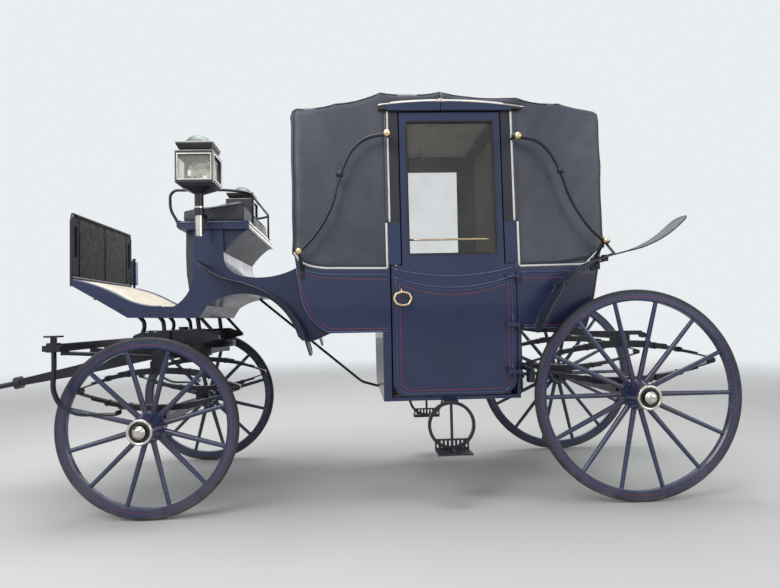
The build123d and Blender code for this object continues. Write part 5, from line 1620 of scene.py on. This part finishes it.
def outermost(skin, node, x, z, side):
    """How far out the leather or the head's wooden frame reaches at (x, z)."""
    found = []
    for rise in (-0.006, 0.0, 0.006):
        start, inward = Vector((x, side * OUTSIDE, z + rise)), Vector((0, -side, 0))
        found += [skin.ray_cast(start, inward)[0], TREE(node).ray_cast(start, inward)[0]]
    return max(abs(spot.y) for spot in found if spot is not None and spot.y * side > 0)


def lay_welt(bm, skin, path):
    """A sewn welt laid on the leather along a rough path."""
    spots, out = [], []
    for rough in path:
        spot, normal, _, _ = skin.find_nearest(rough)
        if not spots or (spot - spots[-1]).length > 0.004:
            spots.append(spot)
            out.append(normal)
    sweep(bm, half_round(0.0034, 4), spots, out)


# Heights of the cornice's lines over the doors, at the head's split and at its posts' outer ends
CORNICE_LINE = {"front": (2.232, 2.209), "rear": (2.232, 2.195)}
CORNICE_ENDS = {"front": low("front_head_frame").x, "rear": high("rear_head_frame").x + 0.016}
HEAD_SPLIT = (high("front_head_frame").x + low("rear_head_frame").x) / 2
CORNICE_FACE = high("front_head_frame").y + 0.0012
CORNICE_FOOT, CORNICE_DEEP, CORNICE_STEPS = 2.180, 0.026, 18
NICKEL_RADIUS, WHITE_RADIUS = 0.0046, 0.0048
# The white bead stops this far short of the nickel line's outer end
BEAD_SHORT = {"front": 0.075, "rear": 0.120}


def cornice_arch(end, side, start, stop, y, rise=0.0):
    """Points of a line over one half of a door, which falls from the head's split to its post."""
    z_mid, z_end = CORNICE_LINE[end]
    spots = []
    for i in range(CORNICE_STEPS + 1):
        x = start + (stop - start) * i / CORNICE_STEPS
        share = (x - HEAD_SPLIT) / (CORNICE_ENDS[end] - HEAD_SPLIT)
        spots.append(Vector((x, side * y, z_mid + (z_end - z_mid) * share * share + rise)))
    return spots


def cornice_half(nickel, white, board, end, toward, side):
    """Drip line, white bead and board over one half of a door."""
    out = [Vector((0, side, 0))] * (CORNICE_STEPS + 1)
    x_end, face = CORNICE_ENDS[end], CORNICE_FACE
    drip = cornice_arch(end, side, HEAD_SPLIT + toward * 0.003, x_end, face)
    sweep(nickel, half_round(NICKEL_RADIUS), drip, out)
    start, stop = HEAD_SPLIT + toward * 0.018, x_end - toward * BEAD_SHORT[end]
    bead = cornice_arch(end, side, start, stop, face - 0.009, 0.0075)
    sweep(white, full_round(WHITE_RADIUS, 8), bead, out)
    start, stop = HEAD_SPLIT + toward * 0.002, DOOR_X + toward * (UPPER_POST + 0.004)
    front = cornice_arch(end, side, start, stop, face)
    back = cornice_arch(end, side, start, stop, face - CORNICE_DEEP)
    grid = bmesh.ops.create_grid(board, x_segments=CORNICE_STEPS, y_segments=2, size=1)["verts"]
    grid.sort(key=lambda v: (round(v.co.x, 5), round(v.co.y, 5)))
    for i, (fore, rear) in enumerate(zip(front, back)):
        for j, spot in enumerate((Vector((fore.x, fore.y, CORNICE_FOOT)), fore, rear)):
            grid[3 * i + j].co = spot


# The head's section, counted from its end, that the upright welts follow
WELT_STATION = -4


def head_welts(bm, skin, end, sizes):
    """The sewn welts of one half of the head: along its eaves, up its rear corners and over its end."""
    stations = head_stations(end, sizes)
    rings = [head_ring(end, x, 0.0, sizes, inset) for x, inset in stations]
    eave = ROWS_SIDE + ROWS_CORNICE + ROWS_EAVE // 2
    x_seam, seam = stations[WELT_STATION][0], rings[WELT_STATION]
    for side in (-1, 1):
        lay_welt(bm, skin, [Vector((x, side * ring[eave][0], ring[eave][1]))
                            for (x, _), ring in zip(stations, rings)])
        lay_welt(bm, skin, [Vector((x_seam, side * y, z)) for y, z in seam[:ROWS_SIDE:2]])
    over = [(-y, z) for y, z in seam[eave:]] + [(y, z) for y, z in reversed(seam[eave:-1])]
    lay_welt(bm, skin, [Vector((x_seam, y, z)) for y, z in over])


class CARRIAGE_OT_cornice(bpy.types.Operator):
    """Nickel drip line, white bead and knuckle over each door, and the sewn edges of the head"""
    bl_idname = "carriage.cornice"
    bl_label = "Cornice and seams"

    def execute(self, context):
        nickel, white, board, welt = bmesh.new(), bmesh.new(), bmesh.new(), bmesh.new()
        for _, side in SIDES:
            for end, toward in (("front", -1), ("rear", 1)):
                cornice_half(nickel, white, board, end, toward, side)
            mid_z = CORNICE_LINE["front"][0]
            slab(nickel, (HEAD_SPLIT - 0.014, side * (CORNICE_FACE - 0.001), mid_z - 0.007),
                 (HEAD_SPLIT + 0.014, side * (CORNICE_FACE + 0.007), mid_z + 0.010), 0.003)
        keep(nickel, "cornice_nickel", "nickel")
        keep(white, "cornice_white_bead", "white")
        boards = keep(board, "cornice_boards", "coach", smooth=False)
        modify(boards, "SOLIDIFY", thickness=0.002, offset=0)
        for end, skin in leather_skins(context).items():
            head_welts(welt, skin, end, context.scene.carriage_sizes)
        keep(welt, "head_welts", "hood")
        return {"FINISHED"}


# Stage

CAMERA_PLACE = Vector((0.078, -4.031, 1.018))
CAMERA_YAW, CAMERA_PITCH, CAMERA_ROLL = math.radians(2.91), math.radians(2.3), math.radians(-1.25)
FOCAL_PIXELS, PICTURE_WIDTH, PICTURE_HEIGHT = 620.7, 780, 588
PRINCIPAL_X, PRINCIPAL_Y = 385.0, 294.0
SENSOR = 36.0


def make_camera(context):
    """The photograph's view: a level stand a little below mid-height, near the carriage's middle."""
    data = bpy.data.cameras.new("camera")
    data.sensor_width = SENSOR
    data.lens = FOCAL_PIXELS / PICTURE_WIDTH * SENSOR
    data.shift_x = (PICTURE_WIDTH / 2 - PRINCIPAL_X) / PICTURE_WIDTH
    data.shift_y = (PRINCIPAL_Y - PICTURE_HEIGHT / 2) / PICTURE_WIDTH
    data.clip_start, data.clip_end = 0.05, 200
    forward = math.cos(CAMERA_PITCH)
    ahead = Vector((math.sin(CAMERA_YAW) * forward, math.cos(CAMERA_YAW) * forward, math.sin(CAMERA_PITCH)))
    level = Vector((math.cos(CAMERA_YAW), -math.sin(CAMERA_YAW), 0))
    upright = level.cross(ahead)
    right = level * math.cos(CAMERA_ROLL) + upright * math.sin(CAMERA_ROLL)
    top = upright * math.cos(CAMERA_ROLL) - level * math.sin(CAMERA_ROLL)
    turn = Matrix((right, top, -ahead)).transposed()
    camera = bpy.data.objects.new("camera", data)
    context.scene.collection.objects.link(camera)
    camera.matrix_world = Matrix.Translation(CAMERA_PLACE) @ turn.to_4x4()
    context.scene.camera = camera


def make_floor(context):
    """A pale floor that fades out round the carriage, and a light sky."""
    bm = bmesh.new()
    bmesh.ops.create_circle(bm, cap_ends=True, segments=96, radius=30)
    mesh = bpy.data.meshes.new("floor")
    bm.to_mesh(mesh)
    bm.free()
    floor = bpy.data.objects.new("floor", mesh)
    context.scene.collection.objects.link(floor)
    made = bpy.data.materials.new("studio_floor")
    made.use_nodes = True
    g = Graph(made.node_tree)
    shader = made.node_tree.nodes["Principled BSDF"]
    tone = g.ramp(g.noise(g.place(), 0.6, 3.0, 0.5), 0.3, 0.7)
    pale = context.scene.carriage_colours.floor
    g.put(shader.inputs["Base Color"], g.mix(tone, (*shade(pale, 0.97), 1), (*pale, 1)))
    shader.inputs["Roughness"].default_value = 0.75
    shader.inputs["Specular IOR Level"].default_value = 0.2
    across, deep, _ = g.split(g.place())[:3]
    away = g.length(across, deep)
    far = g.times(g.ramp(away, 4.0, 13.0), g.node("LightPath").outputs["Is Camera Ray"])
    g.put(shader.inputs["Alpha"], g.minus(1.0, far))
    mesh.materials.append(made)
    world = bpy.data.worlds.new("studio")
    world.use_nodes = True
    context.scene.world = world
    g = Graph(world.node_tree)
    back = world.node_tree.nodes["Background"]
    path = g.node("LightPath").outputs
    seen = g.math("MAXIMUM", path["Is Camera Ray"], g.math("MAXIMUM", path["Is Glossy Ray"],
                                                          path["Is Transmission Ray"]))
    g.put(back.inputs["Color"], (0.90, 0.925, 0.95, 1))
    g.put(back.inputs["Strength"], g.plus(0.36, g.times(seen, 0.56)))


LIGHTS = [
    # name, place, size, watts
    ("key", (-3.5, -5.5, 5.5), 4.5, 280),
    ("fill", (5.0, -4.5, 3.0), 4.0, 72),
    ("top", (0.0, 0.5, 6.5), 5.0, 310),
    ("back", (1.0, 6.0, 4.0), 5.0, 55),
]


def make_lights(context):
    """Soft discs of light, all turned to the carriage's middle."""
    for name, place, size, watts in LIGHTS:
        data = bpy.data.lights.new(name, "AREA")
        data.shape = "DISK"
        data.size = size
        data.energy = watts
        lamp = bpy.data.objects.new(name, data)
        context.scene.collection.objects.link(lamp)
        aim = (Vector((0, 0, 1.0)) - Vector(place)).normalized()
        lamp.matrix_world = Matrix.Translation(place) @ aim.to_track_quat("-Z", "Y").to_matrix().to_4x4()
    context.scene.view_settings.view_transform = "Standard"


class CARRIAGE_OT_stage(bpy.types.Operator):
    """Floor, backdrop, soft lights and the camera"""
    bl_idname = "carriage.stage"
    bl_label = "Stage"

    def execute(self, context):
        make_camera(context)
        make_floor(context)
        make_lights(context)
        return {"FINISHED"}


class CARRIAGE_PT_panel(bpy.types.Panel):
    """Sizes, colours and the steps that dress the carriage"""
    bl_idname = "CARRIAGE_PT_panel"
    bl_label = "Carriage"
    bl_space_type = "VIEW_3D"
    bl_region_type = "UI"
    bl_category = "Carriage"

    def draw(self, context):
        for group in (context.scene.carriage_sizes, context.scene.carriage_colours):
            box = self.layout.box()
            for name in group.__annotations__:
                box.prop(group, name)
        for step in STEPS:
            self.layout.operator(step.bl_idname)


STEPS = [
    CARRIAGE_OT_stage, CARRIAGE_OT_cad_finishes, CARRIAGE_OT_leather_heads, CARRIAGE_OT_beading,
    CARRIAGE_OT_body_lining, CARRIAGE_OT_door_trim, CARRIAGE_OT_cabin_seats, CARRIAGE_OT_driver_seat,
    CARRIAGE_OT_tyres, CARRIAGE_OT_hubs, CARRIAGE_OT_brasses, CARRIAGE_OT_lamp_trim,
    CARRIAGE_OT_seat_trim, CARRIAGE_OT_dash_trim, CARRIAGE_OT_footboard_trim, CARRIAGE_OT_fender_edges,
    CARRIAGE_OT_spring_fittings, CARRIAGE_OT_cabin_lining, CARRIAGE_OT_cornice,
]
CLASSES = [CarriageSizes, CarriageColours, *STEPS, CARRIAGE_PT_panel]


def register():
    for kind in CLASSES:
        bpy.utils.register_class(kind)
    bpy.types.Scene.carriage_sizes = bpy.props.PointerProperty(type=CarriageSizes)
    bpy.types.Scene.carriage_colours = bpy.props.PointerProperty(type=CarriageColours)


def unregister():
    del bpy.types.Scene.carriage_colours
    del bpy.types.Scene.carriage_sizes
    for kind in reversed(CLASSES):
        bpy.utils.unregister_class(kind)


def main():
    register()
    for step in STEPS:
        group, name = step.bl_idname.split(".")
        getattr(getattr(bpy.ops, group), name)()


if __name__ == "__main__":
    main()
